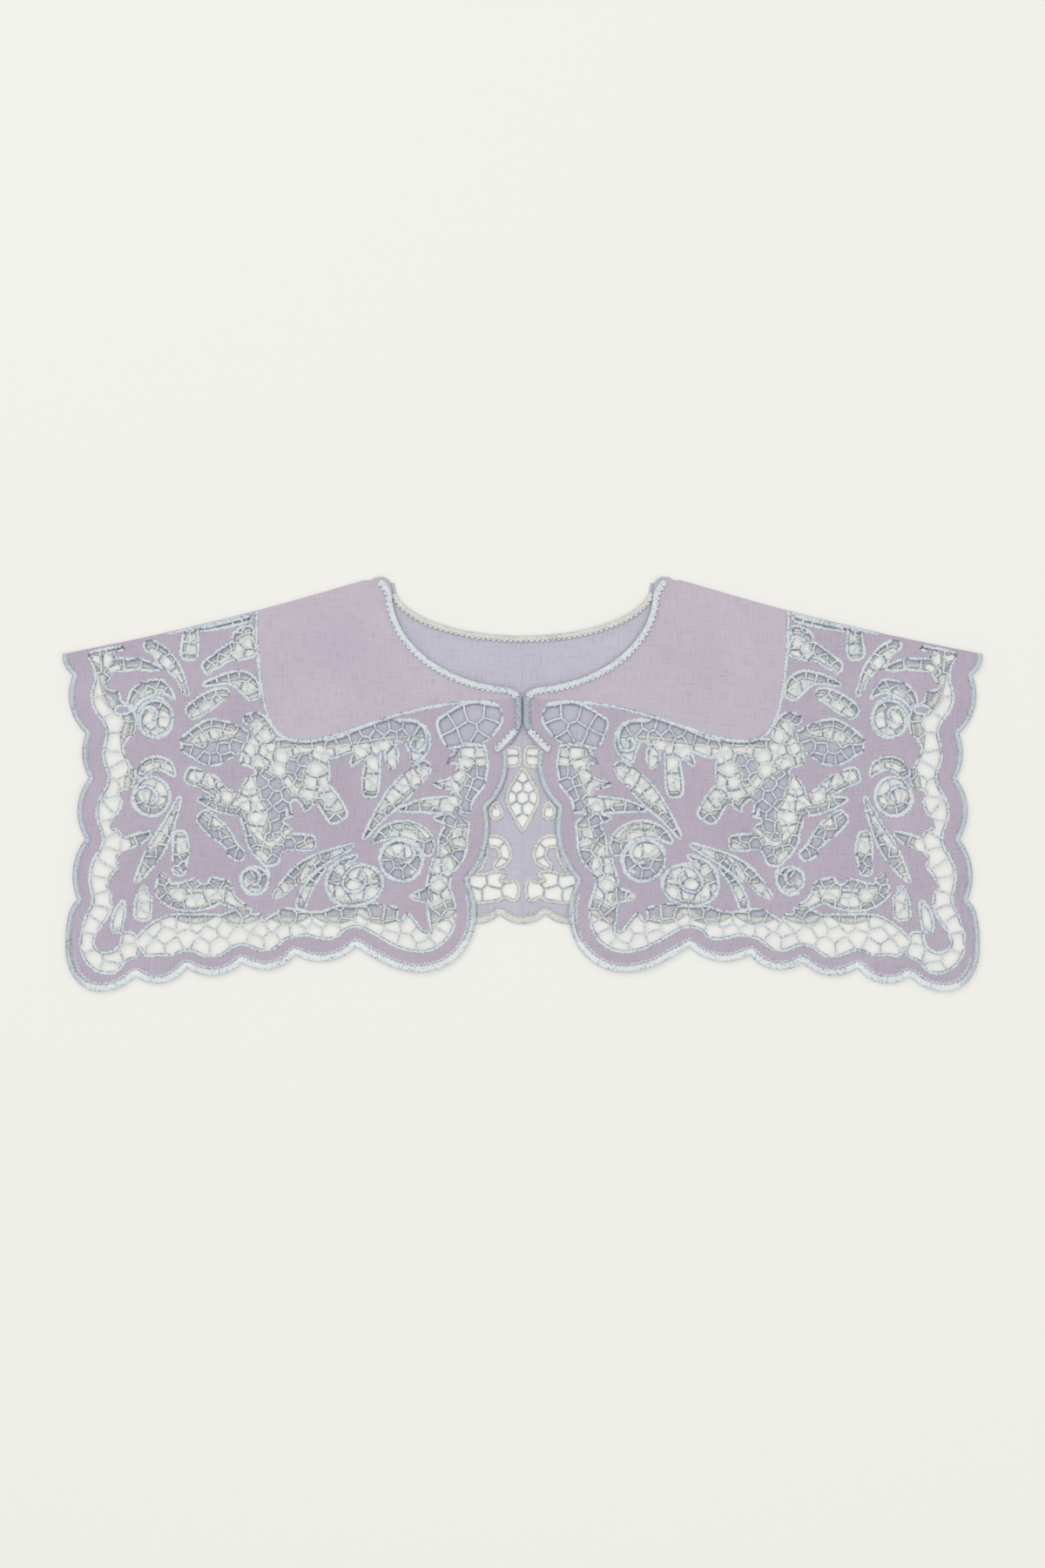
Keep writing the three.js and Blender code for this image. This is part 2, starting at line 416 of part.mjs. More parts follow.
// middles of the cells of a net that fills a ribbon
function netSites(spine, cell) {
  const sums = lengthsOf(spine);
  const total = sums[sums.length - 1];
  const count = Math.max(1, Math.round(total / cell));
  const normals = normalsOf(spine);
  const sites = [];
  for (let i = 0; i < count; i++) {
    const f = indexAt(sums, ((i + 0.5) * total) / count);
    const j = Math.floor(f);
    const next = Math.min(j + 1, spine.length - 1);
    const [x, y, wide] = spine[j].map((v, k) => between(v, spine[next][k], f - j));
    const [nx, ny] = normals[j];
    const rows = Math.max(1, Math.round(wide / cell));
    for (let q = 0; q < rows; q++) {
      const off = ((q + 0.5) / rows - 0.5) * wide + wobble(i, q) * 0.22 * cell * (rows > 1 ? 1 : 0.3);
      const staggered = rows > 1 ? (((q + i) % 2) - 0.5) * 0.5 * cell : 0;
      const along = staggered + wobble(i + 7, q + 3) * 0.25 * cell;
      sites.push([x + nx * off + ny * along, y + ny * off - nx * along]);
    }
  }
  return sites;
}

// what is left of a polygon on the near side of a line
function clipped(polygon, px, py, nx, ny) {
  const side = ([x, y]) => (x - px) * nx + (y - py) * ny;
  return polygon.flatMap((a, i) => {
    const b = polygon[(i + 1) % polygon.length];
    const da = side(a);
    const db = side(b);
    const kept = da <= 0 ? [a] : [];
    if (da <= 0 !== db <= 0) kept.push([0, 1].map((k) => between(a[k], b[k], da / (da - db))));
    return kept;
  });
}

// gaps of a net: each is what lies nearer to its own site than to any other, less half a bar
function netGaps(outline, sites) {
  return sites.map((site, i) => sites.reduce((cellOutline, other, j) => {
    if (i === j || !cellOutline.length) return cellOutline;
    const far = distance(site, other);
    const nx = (other[0] - site[0]) / far;
    const ny = (other[1] - site[1]) / far;
    const reach = far / 2 - BAR / 2;
    return clipped(cellOutline, site[0] + nx * reach, site[1] + ny * reach, nx, ny);
  }, outline));
}

const areaOf = (polygon) => Math.abs(THREE.ShapeUtils.area(polygon.map(([x, y]) => new THREE.Vector2(x, y))));

// leaves out the points that hardly change a closed outline
function simplified(polygon, tolerance) {
  const points = polygon.filter((p, i) => distance(p, polygon[(i + 1) % polygon.length]) > 0.25);
  for (;;) {
    let least = tolerance;
    let drop = -1;
    for (let i = 0; i < points.length && points.length > 3; i++) {
      const a = points[(i + points.length - 1) % points.length];
      const b = points[(i + 1) % points.length];
      const long = distance(a, b);
      const off = long < 1e-6 ? 0
        : Math.abs((b[0] - a[0]) * (a[1] - points[i][1]) - (a[0] - points[i][0]) * (b[1] - a[1])) / long;
      if (off < least) {
        least = off;
        drop = i;
      }
    }
    if (drop < 0) return points;
    points.splice(drop, 1);
  }
}

// least width of a polygon over all directions
function narrowest(polygon) {
  let least = Infinity;
  for (let k = 0; k < 12; k++) {
    const a = (Math.PI * k) / 12;
    const reach = polygon.map(([x, y]) => x * Math.cos(a) + y * Math.sin(a));
    least = Math.min(least, Math.max(...reach) - Math.min(...reach));
  }
  return least;
}

const GAP_TOLERANCE = 0.35;
const LEAF_TOLERANCE = 0.3;
function largestGaps(gaps, count) {
  return gaps
    .map((gap) => simplified(gap, GAP_TOLERANCE))
    .filter((gap) => gap.length > 2 && narrowest(gap) > SMALLEST_GAP)
    .sort((a, b) => areaOf(b) - areaOf(a))
    .slice(0, count);
}

const flatShape = (points) => new wasm.CrossSection([points], "NonZero");
const leafOutline = ({ sections }) =>
  simplified(ribbonOutline(spineOf(sections).map(([u, y, wide]) => [u, y, wide + CORD])), LEAF_TOLERANCE);
const widest = (sections) => Math.max(...sections.map(([, , wide]) => wide));

// the cells of each ribbon, less the leaves and whatever earlier ribbons have taken
function gapsOf(voids, leaves) {
  let taken = leaves.map((leaf) => flatShape(leafOutline(leaf))).reduce((all, leaf) => all.add(leaf));
  const gaps = [];
  const open = (cells, outline) => {
    cells.filter((cell) => cell.length > 2).forEach((cell) => {
      const parts = flatShape(cell).subtract(taken).decompose().filter((part) => !part.isEmpty());
      gaps.push(...parts.map((part) => part.toPolygons().sort((a, b) => areaOf(b) - areaOf(a))[0]));
    });
    taken = taken.add(flatShape(outline).offset(BAR / 2, "Round"));
  };
  voids.forEach(({ cell, sections }) => {
    const spine = spineOf(sections);
    const outline = ribbonOutline(spine);
    const ladder = widest(sections) < LADDER_UNDER;
    open(ladder ? ladderGaps(spine, cell) : netGaps(outline, netSites(spine, cell)), outline);
  });
  return gaps;
}

// ---- outlines of the panels ----
// The fold's axis lies one roll radius in from the shoulder line; the panels end on or just inside it.
const ROLL_RADIUS = (FRONT_BOTTOM + CLOTH) / 2;
const foldRun = new THREE.Vector2(SHOULDER_TIP.u - SHOULDER_NECK.u, SHOULDER_TIP.y - SHOULDER_NECK.y);
const foldAlong = foldRun.clone().normalize();
const foldDown = new THREE.Vector2(foldAlong.y, -foldAlong.x);
const belowFold = ({ u, y }, far) => [u + foldDown.x * far, y + foldDown.y * far];

function scalloped(start, scallops, sign) {
  const points = [start];
  scallops.forEach(({ u, y, rise }) => points.push(...arcTo(points[points.length - 1], [u, y], sign * rise)));
  return points;
}

function neckCurve({ y, across, deep }, from, to, step) {
  const points = [];
  for (let degrees = from; degrees <= to; degrees += step) {
    const a = THREE.MathUtils.degToRad(degrees);
    points.push([across * Math.cos(a), y + deep * Math.sin(a)]);
  }
  return points;
}

function frontOutline() {
  const side = scalloped(belowFold(SHOULDER_TIP, ROLL_RADIUS), SIDE_SCALLOPS, 1);
  const outer = smoothed(OUTER_CORNER, 2 * CURVE_STEP);
  const hem = scalloped(outer[outer.length - 1], HEM_SCALLOPS, 1);
  const inner = smoothed(INNER_CORNER, 2 * CURVE_STEP);
  const centre = scalloped(inner[inner.length - 1], CENTRE_SCALLOPS, 1);
  return [
    belowFold(SHOULDER_NECK, ROLL_RADIUS), ...side, ...outer.slice(1), ...hem.slice(1), ...inner.slice(1),
    ...centre.slice(1), ...CENTRE_EDGE, ...neckCurve(FRONT_NECK, -84, 0, 7), ...NECK_CORNER,
  ];
}

// the back is drawn from the middle of the neck round to the middle of the hem, then mirrored
function backOutline() {
  const scallops = Array.from({ length: BACK_HEM.count }, (_, k) => (
    { u: BACK_HEM.first + (k + 1) * BACK_HEM.pitch, y: BACK_HEM.y, rise: BACK_HEM.rise }));
  const edge = scalloped([BACK_HEM.first, BACK_HEM.y], [...scallops, ...BACK_SIDE], -1).reverse();
  const right = [
    ...neckCurve(BACK_NECK, -90, -6, 7), [73.4, 115.2],
    belowFold(SHOULDER_NECK, ROLL_RADIUS + PIECE_GAP), belowFold(SHOULDER_TIP, ROLL_RADIUS + PIECE_GAP),
    ...edge,
  ];
  const { first, y, rise } = BACK_HEM;
  const middle = arcTo([first, y], [-first, y], rise).slice(0, -1);
  return [...right, ...middle, ...mirrored(right).slice(0, -1)];
}

// ---- solids ----
// flat piece between two heights
function slab(outline, bottom, thick) {
  const shape = new THREE.Shape(outline.map(([x, y]) => new THREE.Vector2(x, y)));
  return new THREE.ExtrudeGeometry(shape, { depth: thick, bevelEnabled: false }).translate(0, 0, bottom);
}

function solidOf(geometry) {
  const bare = new THREE.BufferGeometry().setAttribute("position", geometry.getAttribute("position"));
  if (geometry.index) bare.setIndex(geometry.index);
  const merged = mergeVertices(bare, 1e-4);
  return new wasm.Manifold(new wasm.Mesh({
    numProp: 3,
    vertProperties: merged.getAttribute("position").array,
    triVerts: new Uint32Array(merged.index.array),
  }));
}

function geometryOf(solid) {
  const { vertProperties, triVerts } = solid.getMesh();
  return new THREE.BufferGeometry()
    .setAttribute("position", new THREE.BufferAttribute(vertProperties, 3))
    .setIndex(new THREE.BufferAttribute(triVerts, 1));
}

// a panel with its gaps cut through, in one piece
function cutwork(outline, gaps, bottom) {
  const bare = solidOf(slab(outline, bottom, CLOTH));
  const cutter = (gap) => solidOf(slab(gap, bottom - CLOTH, 3 * CLOTH));
  const open = gaps.reduce((cloth, gap) => cloth.subtract(cutter(gap)), bare);
  return open.decompose().sort((a, b) => b.volume() - a.volume())[0];
}

// the roll of cloth along the shoulder: half a tube whose upper arm is sunk in the front panel
function shoulderRoll() {
  const inner = ROLL_RADIUS - CLOTH;
  const sunk = 0.5;
  const section = new THREE.Shape();
  section.moveTo(0, -ROLL_RADIUS);
  section.absarc(0, 0, ROLL_RADIUS, -Math.PI / 2, -1.5 * Math.PI, true);
  section.lineTo(sunk, ROLL_RADIUS);
  section.lineTo(sunk, inner);
  section.lineTo(0, inner);
  section.absarc(0, 0, inner, -1.5 * Math.PI, -Math.PI / 2, false);
  const depth = foldRun.length();
  const roll = new THREE.ExtrudeGeometry(section, { depth, bevelEnabled: false, curveSegments: 8 });
  const inwards = new THREE.Vector3(foldDown.x, foldDown.y, 0);
  const backwards = new THREE.Vector3(-foldAlong.x, -foldAlong.y, 0);
  return roll.applyMatrix4(new THREE.Matrix4()
    .makeBasis(inwards, new THREE.Vector3(0, 0, 1), backwards)
    .setPosition(...belowFold(SHOULDER_TIP, ROLL_RADIUS), ROLL_RADIUS));
}

const frontGaps = () => gapsOf(FRONT_VOIDS, FRONT_LEAVES);

function frontPanel() {
  const wound = FRONT_SCROLLS.flatMap((scroll) => ladderGaps(scrollSpine(scroll), scroll.cell));
  const scrolls = largestGaps(wound, FRONT_GAPS);
  const gaps = [...scrolls, ...largestGaps(frontGaps(), FRONT_GAPS - scrolls.length)];
  const panel = cutwork(frontOutline(), gaps, FRONT_BOTTOM);
  return geometryOf(panel.add(solidOf(shoulderRoll())));
}

// where a gap of the fronts' pattern comes on the back, as far as it lies within the back's limits
function repeatedGap(gap) {
  const { narrower, shorter, first, own, from, side, hem } = BACK_REPEAT;
  const moved = gap.map(([u, y]) => [u * narrower, own + (y - first) * (y < first ? shorter : 1)]);
  return clipped(clipped(clipped(moved, side, 0, 1, 0), 0, hem, 0, -1), from, 0, -1, 0);
}

function medallionGaps() {
  const sites = [MEDALLION.middle, MEDALLION.top, MEDALLION.bottom].map((y) => [0, y]);
  for (let k = 0; k < MEDALLION.ringCells; k++) {
    const a = (2 * Math.PI * k) / MEDALLION.ringCells;
    sites.push([MEDALLION.ring * Math.cos(a), MEDALLION.middle + MEDALLION.ring * Math.sin(a)]);
  }
  const outline = ribbonOutline(spineOf(MEDALLION.sections));
  return netGaps(outline, sites).map((gap) => simplified(gap, GAP_TOLERANCE));
}

function backPanel() {
  const own = largestGaps(gapsOf(BACK_VOIDS, BACK_LEAVES), BACK_GAPS);
  const repeated = frontGaps().map(repeatedGap).filter((gap) => gap.length > 2);
  const gaps = [...own, ...largestGaps(repeated, BACK_GAPS - own.length)];
  const all = [...gaps, ...gaps.map(mirrored), ...medallionGaps()];
  return geometryOf(cutwork(backOutline(), all, BACK_BOTTOM));
}

// a strip of braid along a free edge, on the layer that starts at bottom
function braid(edge, bottom) {
  const rows = edge.map(([x, y]) => [x, y, BRAID.wide]);
  return slab(simplified(ribbonOutline(rows), 0.05), bottom, BRAID.thick);
}

// spine of the front braid: down the neck curve, the centre front, and out along the top of the opening
const BRAID_IN = BRAID.wide / 2 + BRAID.inset;
const wider = ({ y, across, deep }) => ({ y, across: across + BRAID_IN, deep: deep + BRAID_IN });
const frontBraidSpine = () => [
  [79.2, 115.6], [78.1, 111.5], ...neckCurve(wider(FRONT_NECK), -82, -4, 6).reverse(),
  [6.6, 52.0], [3.4, 48.5], [3.3, 36], [4.6, 31.6], [7.6, 27.6], [15.6, 19.4],
];
function backBraidSpine() {
  const half = neckCurve(wider(BACK_NECK), -90, -20, 7);
  return [...mirrored(half), ...half.slice(1)].reverse();
}

// ---- the collar ----
const dyed = (color, roughness) => new THREE.MeshStandardMaterial({ color, roughness, metalness: 0 });
const linen = dyed(0xc3b6c6, 0.9);
const linenInside = dyed(0xbdb9d0, 0.92);
const thread = dyed(0xc9d3d8, 0.75);
const threadInside = dyed(0xcfcfc4, 0.8);

const collar = new THREE.Group();
function place(name, geometry, material) {
  const mesh = new THREE.Mesh(geometry, material);
  mesh.name = name;
  collar.add(mesh);
}

// the left half is the right one turned over, with its faces turned back the right way out
function otherHand(geometry) {
  const flat = (geometry.index ? geometry.toNonIndexed() : geometry.clone()).scale(-1, 1, 1);
  const corners = flat.getAttribute("position");
  const swap = new THREE.Vector3();
  const held = new THREE.Vector3();
  for (let i = 0; i < corners.count; i += 3) {
    swap.fromBufferAttribute(corners, i + 1);
    held.fromBufferAttribute(corners, i + 2);
    corners.setXYZ(i + 1, held.x, held.y, held.z);
    corners.setXYZ(i + 2, swap.x, swap.y, swap.z);
  }
  return flat;
}

const front = frontPanel();
const frontBraid = braid(frontBraidSpine(), FRONT_BOTTOM + CLOTH + PIECE_GAP);
place("front_right", front, linen);
place("front_left", otherHand(front), linen);
place("back", backPanel(), linenInside);
place("neck_braid_right", frontBraid, thread);
place("neck_braid_left", otherHand(frontBraid), thread);
place("neck_braid_back", braid(backBraidSpine(), CLOTH + PIECE_GAP), threadInside);

// the origin is under the middle of the collar, on the table
const middle = new THREE.Box3().setFromObject(collar).getCenter(new THREE.Vector3());
collar.position.y = -middle.y;

export default collar;
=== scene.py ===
"""Dresses a flat cutwork collar: linen sheets, satin-stitch cords, thread bars and a picot neck trim."""
import math

import bmesh
import bpy
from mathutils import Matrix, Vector
from mathutils.geometry import delaunay_2d_cdt


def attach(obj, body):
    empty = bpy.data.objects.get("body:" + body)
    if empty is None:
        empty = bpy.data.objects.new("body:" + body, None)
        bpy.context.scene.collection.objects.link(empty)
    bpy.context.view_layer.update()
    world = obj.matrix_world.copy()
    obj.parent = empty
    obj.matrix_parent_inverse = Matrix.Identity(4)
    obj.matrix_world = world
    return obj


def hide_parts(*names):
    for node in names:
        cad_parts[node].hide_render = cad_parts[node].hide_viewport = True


bl_info = {
    "name": "Cutwork collar",
    "version": (1, 0, 0),
    "blender": (4, 5, 0),
    "location": "View3D > Sidebar > Collar",
    "description": "Dresses a flat collar with linen, satin stitch, thread bars and a picot trim",
    "category": "Mesh",
}

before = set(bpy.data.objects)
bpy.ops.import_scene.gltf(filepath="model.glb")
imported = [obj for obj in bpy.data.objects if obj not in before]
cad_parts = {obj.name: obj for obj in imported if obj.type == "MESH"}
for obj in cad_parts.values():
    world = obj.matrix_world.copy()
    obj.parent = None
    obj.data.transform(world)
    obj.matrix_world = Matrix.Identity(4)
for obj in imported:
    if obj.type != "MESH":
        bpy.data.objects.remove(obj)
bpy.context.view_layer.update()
MM = 0.001
SIDES = (("right", 1), ("left", -1))

# ---- heights and folds, mm ----
BACK_MIDDLE = 0.6
FRONT_MIDDLE = 2.1
TRIM_MIDDLE = 3.0
BACK_TRIM_MIDDLE = 1.45
SHOULDER_NECK = (87.5, 118.3)
SHOULDER_TIP = (263.5, 75.0)
FOLD_IN = 1.35  # from the shoulder line to the axis of the roll
FOLD_DIP = 2.6  # how far the fold sags inwards, half way along

# ---- outlines, as [distance from the centre line, height up the table] ----
# scallops are [distance, height, rise of the arc up to there]
SIDE_SCALLOPS = [
    (258, 62.5, 2.2), (250.5, 29, 5.5), (248.7, 3.5, 3.0), (250.7, -31.5, 5.6), (255.5, -66, 4.8),
]
OUTER_CORNER = [
    (255.5, -66), (259.6, -72), (261.7, -81), (262.3, -91), (261.3, -102), (257, -111.5),
    (249.5, -117.6), (240, -119), (230, -116.3), (221.8, -110.5),
]
HEM_SCALLOPS = [(192.5, -105.5, 6.3), (160.7, -102.5, 6.0), (130.3, -98, 6.2), (95.7, -93.5, 6.0)]
INNER_CORNER = [
    (95.7, -93.5), (84, -100.5), (72, -106), (58, -108.2), (45, -105),
    (34.5, -97), (28.3, -86), (26.5, -75), (27.6, -64), (31, -55),
]
CENTRE_SCALLOPS = [(20.5, -13.5, 5.4), (9.2, 20, 4.8)]
CENTRE_EDGE = [(4.8, 25.8), (1.5, 30.8), (0.6, 34), (0.5, 50), (2.4, 53.6), (6, 55.2)]
FRONT_NECK = (110, 75, 55)  # ellipse: height of its centre, half width, depth
FRONT_NECK_ARC = (-84, 0, 3)  # degrees: from, to, step
NECK_CORNER = [(75.4, 113.5), (76.4, 117), (79.6, 118.9), (84, 118.6)]
BACK_NECK = (114, 73, 28.8)
BACK_NECK_ARC = (-90, -6, 3)
BACK_TRIM_ARC = (-172, -8, 3)
BACK_NECK_CORNER = (73.4, 115.2)
BACK_HEM = (13, 27, 7, -75, 5.4)  # first cusp, pitch, scallops, height, rise
BACK_SIDE_FOOT = -60  # height where the side's border gives way to the hem's
BACK_SIDE = [(212, -61, 4), (219, -43, 3.5), (225, -19, 4), (226, 10, 3.5), (229, 38, 3.5), (243, 63, 4)]
YOKE_LINE = [
    (152.8, 104), (152.5, 92), (152.3, 82), (150.3, 60), (147, 42), (141.5, 30.5), (133, 25), (121, 24.6),
    (104, 29), (86, 35), (66, 41), (46, 45.8), (28, 48.3), (16, 48.7),
]

# ---- leaves of linen standing in the open ground, as ribbons ----
# name, sections of [u, y, width between the cords]
FRONT_LINEN = [
    ("shoulder arch", [(196.3, 46, 3), (198, 53, 2.8), (201.5, 59, 3.6), (206, 62.4, 3.4), (212, 62.4, 2.6),
        (219, 61.7, 4.6), (225, 60.3, 6.2), (229.5, 57.4, 4), (234, 56, 3), (238.3, 55.6, 0.6)]),
    ("shoulder leaf", [(212.5, 72.2, 0.4), (218.5, 74.2, 1.8), (224, 75.3, 4.4), (228, 74.4, 3),
        (232.3, 74.4, 0.8)]),
    ("shoulder leaf, lobe", [(224, 75.5, 4), (225.2, 79, 3.8), (228.2, 80.4, 1)]),
    ("side lobe", [(200, 23.8, 9.5), (206, 21.3, 8), (212, 20.6, 6.6), (217.5, 21.6, 10.5), (222, 20, 13),
        (224.5, 18.5, 9)]),
    ("side lobe, tip", [(221.6, 20, 8), (222.8, 14.5, 6), (222.3, 10.8, 3)]),
    ("small leaf, side", [(226.3, 42.6, 1.6), (230, 42.6, 2.8), (232, 42, 2)]),
    ("small leaf, side 2", [(226.2, -4.6, 1.2), (230, -5.6, 2)]),
    ("yoke leaf", [(152.8, 43.3, 1.4), (157, 43.6, 4.4), (163.5, 42.6, 6.2), (170, 41.2, 4.6),
        (178.2, 40.4, 1)]),
    ("yoke leaf, top", [(164.6, 51, 3.6), (166, 47, 5), (165.8, 42.5, 6)]),
    ("yoke leaf, foot", [(166.5, 41.5, 6), (163.8, 37.4, 5), (161.5, 33.8, 0.8)]),
    ("sprig", [(165.6, 69, 2), (169, 67.3, 3), (172.5, 65.4, 1.4), (177.2, 63.2, 1.8)]),
    ("almond leaf", [(154.4, 6.8, 1.6), (160, 7.6, 4.4), (167, 8.4, 6.4), (174, 8.2, 3.4),
        (182, 8.4, 0.8)]),
    ("almond leaf, top", [(163.2, 15, 1), (166, 12, 4), (168, 8.5, 6)]),
    ("almond leaf, foot", [(168, 8, 6), (167.5, 3, 5), (167.2, -0.3, 4.6), (165.5, -2.1, 2.4)]),
    ("lower bough, tip 1", [(182, -34.5, 8), (176, -37.5, 6.6), (170.2, -38.7, 0.8)]),
    ("lower bough, tip 2", [(180, -45, 9), (175.5, -49.3, 7), (170.4, -53, 2)]),
    ("lower bough, tip 3", [(181, -46, 9), (182.5, -51, 6.4), (183, -55.3, 4)]),
    ("lower bough, tip 4", [(186, -42, 8), (189, -46, 6), (191.2, -49.4, 1)]),
    ("side leaf 1", [(209.5, -22.2, 1), (215, -22.4, 2.8), (220, -22.9, 6), (226, -22.3, 9),
        (230, -21.7, 4), (234.5, -21.2, 1.6)]),
    ("side leaf 1, lobe", [(224.5, -20, 4), (227.6, -16.6, 0.6)]),
    ("side leaf 2", [(216.6, -36.2, 1), (220, -38.2, 4.2), (223.5, -40.4, 5), (227.5, -41.6, 3.6),
        (231.5, -42.6, 1)]),
    ("side leaf 3", [(225.8, -47.6, 1.6), (229, -51.2, 6), (231.6, -55.4, 8), (232.4, -59, 7.6)]),
    ("side leaf 3, lobe", [(232, -57, 4), (237, -58.7, 1)]),
    ("side leaf 3, tip", [(231.4, -60, 5), (233.2, -64.5, 3.2), (234.2, -69, 0.6)]),
    ("side leaf 4", [(219.6, -58, 1), (222.4, -60.4, 2.8), (226.4, -63.4, 4)]),
    ("hem leaf", [(203, -39.4, 1), (203.8, -43, 3.4), (204.6, -46.6, 5.6), (203, -50.4, 1.6)]),
    ("hem leaf, stem", [(206.5, -45.6, 2.6), (210.4, -50, 2.8), (213.2, -54, 4), (217.6, -56.2, 0.8)]),
    ("hem leaf, tip", [(212, -53, 3.6), (212.6, -58, 2.8), (213.6, -61.6, 2)]),
    ("corner leaf", [(231.2, -86, 0.8), (233.6, -90.6, 3.6), (237.5, -92.4, 6.4), (241, -90.6, 8.4),
        (241.4, -88, 5)]),
    ("hem sprig", [(163.2, -56.2, 1.2), (163.4, -60, 2.8), (161.4, -64, 3.4), (157, -66.6, 2.8),
        (152, -66.4, 2.8)]),
    ("hem bough", [(128.4, -58.4, 0.6), (132, -63, 2), (135.4, -67, 3.8), (140, -69.2, 3.6),
        (144.6, -71.6, 5.6), (147, -74.4, 3), (148.4, -77.6, 0.6)]),
    ("hem bough, tip", [(145, -70.4, 4), (149.6, -71.6, 3), (155, -73.4, 0.8)]),
    ("heart leaf 1", [(128.8, -41.6, 1), (131.6, -42.8, 3.6)]),
    ("heart leaf 2", [(136.2, -49.4, 1), (140, -51.2, 3), (143.2, -51.4, 1.6)]),
    ("middle bough, tip", [(128, -21, 6), (132, -21.3, 3.4), (136.4, -21.5, 0.8)]),
    ("middle bough, lobe", [(129, -15, 5), (131, -11, 2.6)]),
    ("star leaf", [(55.6, -83.4, 1), (59, -78, 2.4), (63, -72.6, 3.2), (67, -68, 4.4), (71, -63.4, 6),
        (74.4, -59.4, 4.4), (75.8, -56.4, 1)]),
    ("star leaf, tip 1", [(61, -57.6, 1.8), (65.5, -60.5, 2.8), (70, -64, 5)]),
    ("star leaf, tip 2", [(74, -62, 5), (77, -66, 4), (79.3, -68.4, 1.6)]),
    ("star leaf, tip 3", [(67, -68, 3.6), (69, -73, 2.4), (70.3, -77.2, 1.4)]),
    ("fan leaf 1", [(42.6, 19.8, 1), (45, 16, 3.2), (47.4, 12, 5), (48.2, 8, 6), (50.5, 4.6, 4.6),
        (53, 1.4, 1.6)]),
    ("fan leaf 1, tip", [(38.9, 10.3, 1.8), (42, 8.6, 3.2), (46.5, 6.2, 5)]),
    ("fan leaf 2", [(44, -5.2, 1.2), (49, -4, 2.2), (54, -3, 4.4), (58.4, -3.9, 4), (60.4, -5, 2)]),
    ("fan leaf 2, lobe", [(54.2, -2.2, 3), (54.6, 0.4, 0.6)]),
    ("drop leaf", [(67.2, 18.8, 1.4), (68, 14, 2.8), (68, 10.6, 4), (71.4, 7.2, 3.2), (75.4, 4.5, 3.2),
        (78, 1.4, 2.6), (78.9, -2.2, 0.8)]),
    ("drop leaf, tip 1", [(78.4, 10.2, 1.6), (78.2, 6, 2.2), (77, 3.2, 2.8)]),
    ("drop leaf, tip 2", [(64.8, 11.2, 1.4), (68.2, 9.6, 3.6)]),
]
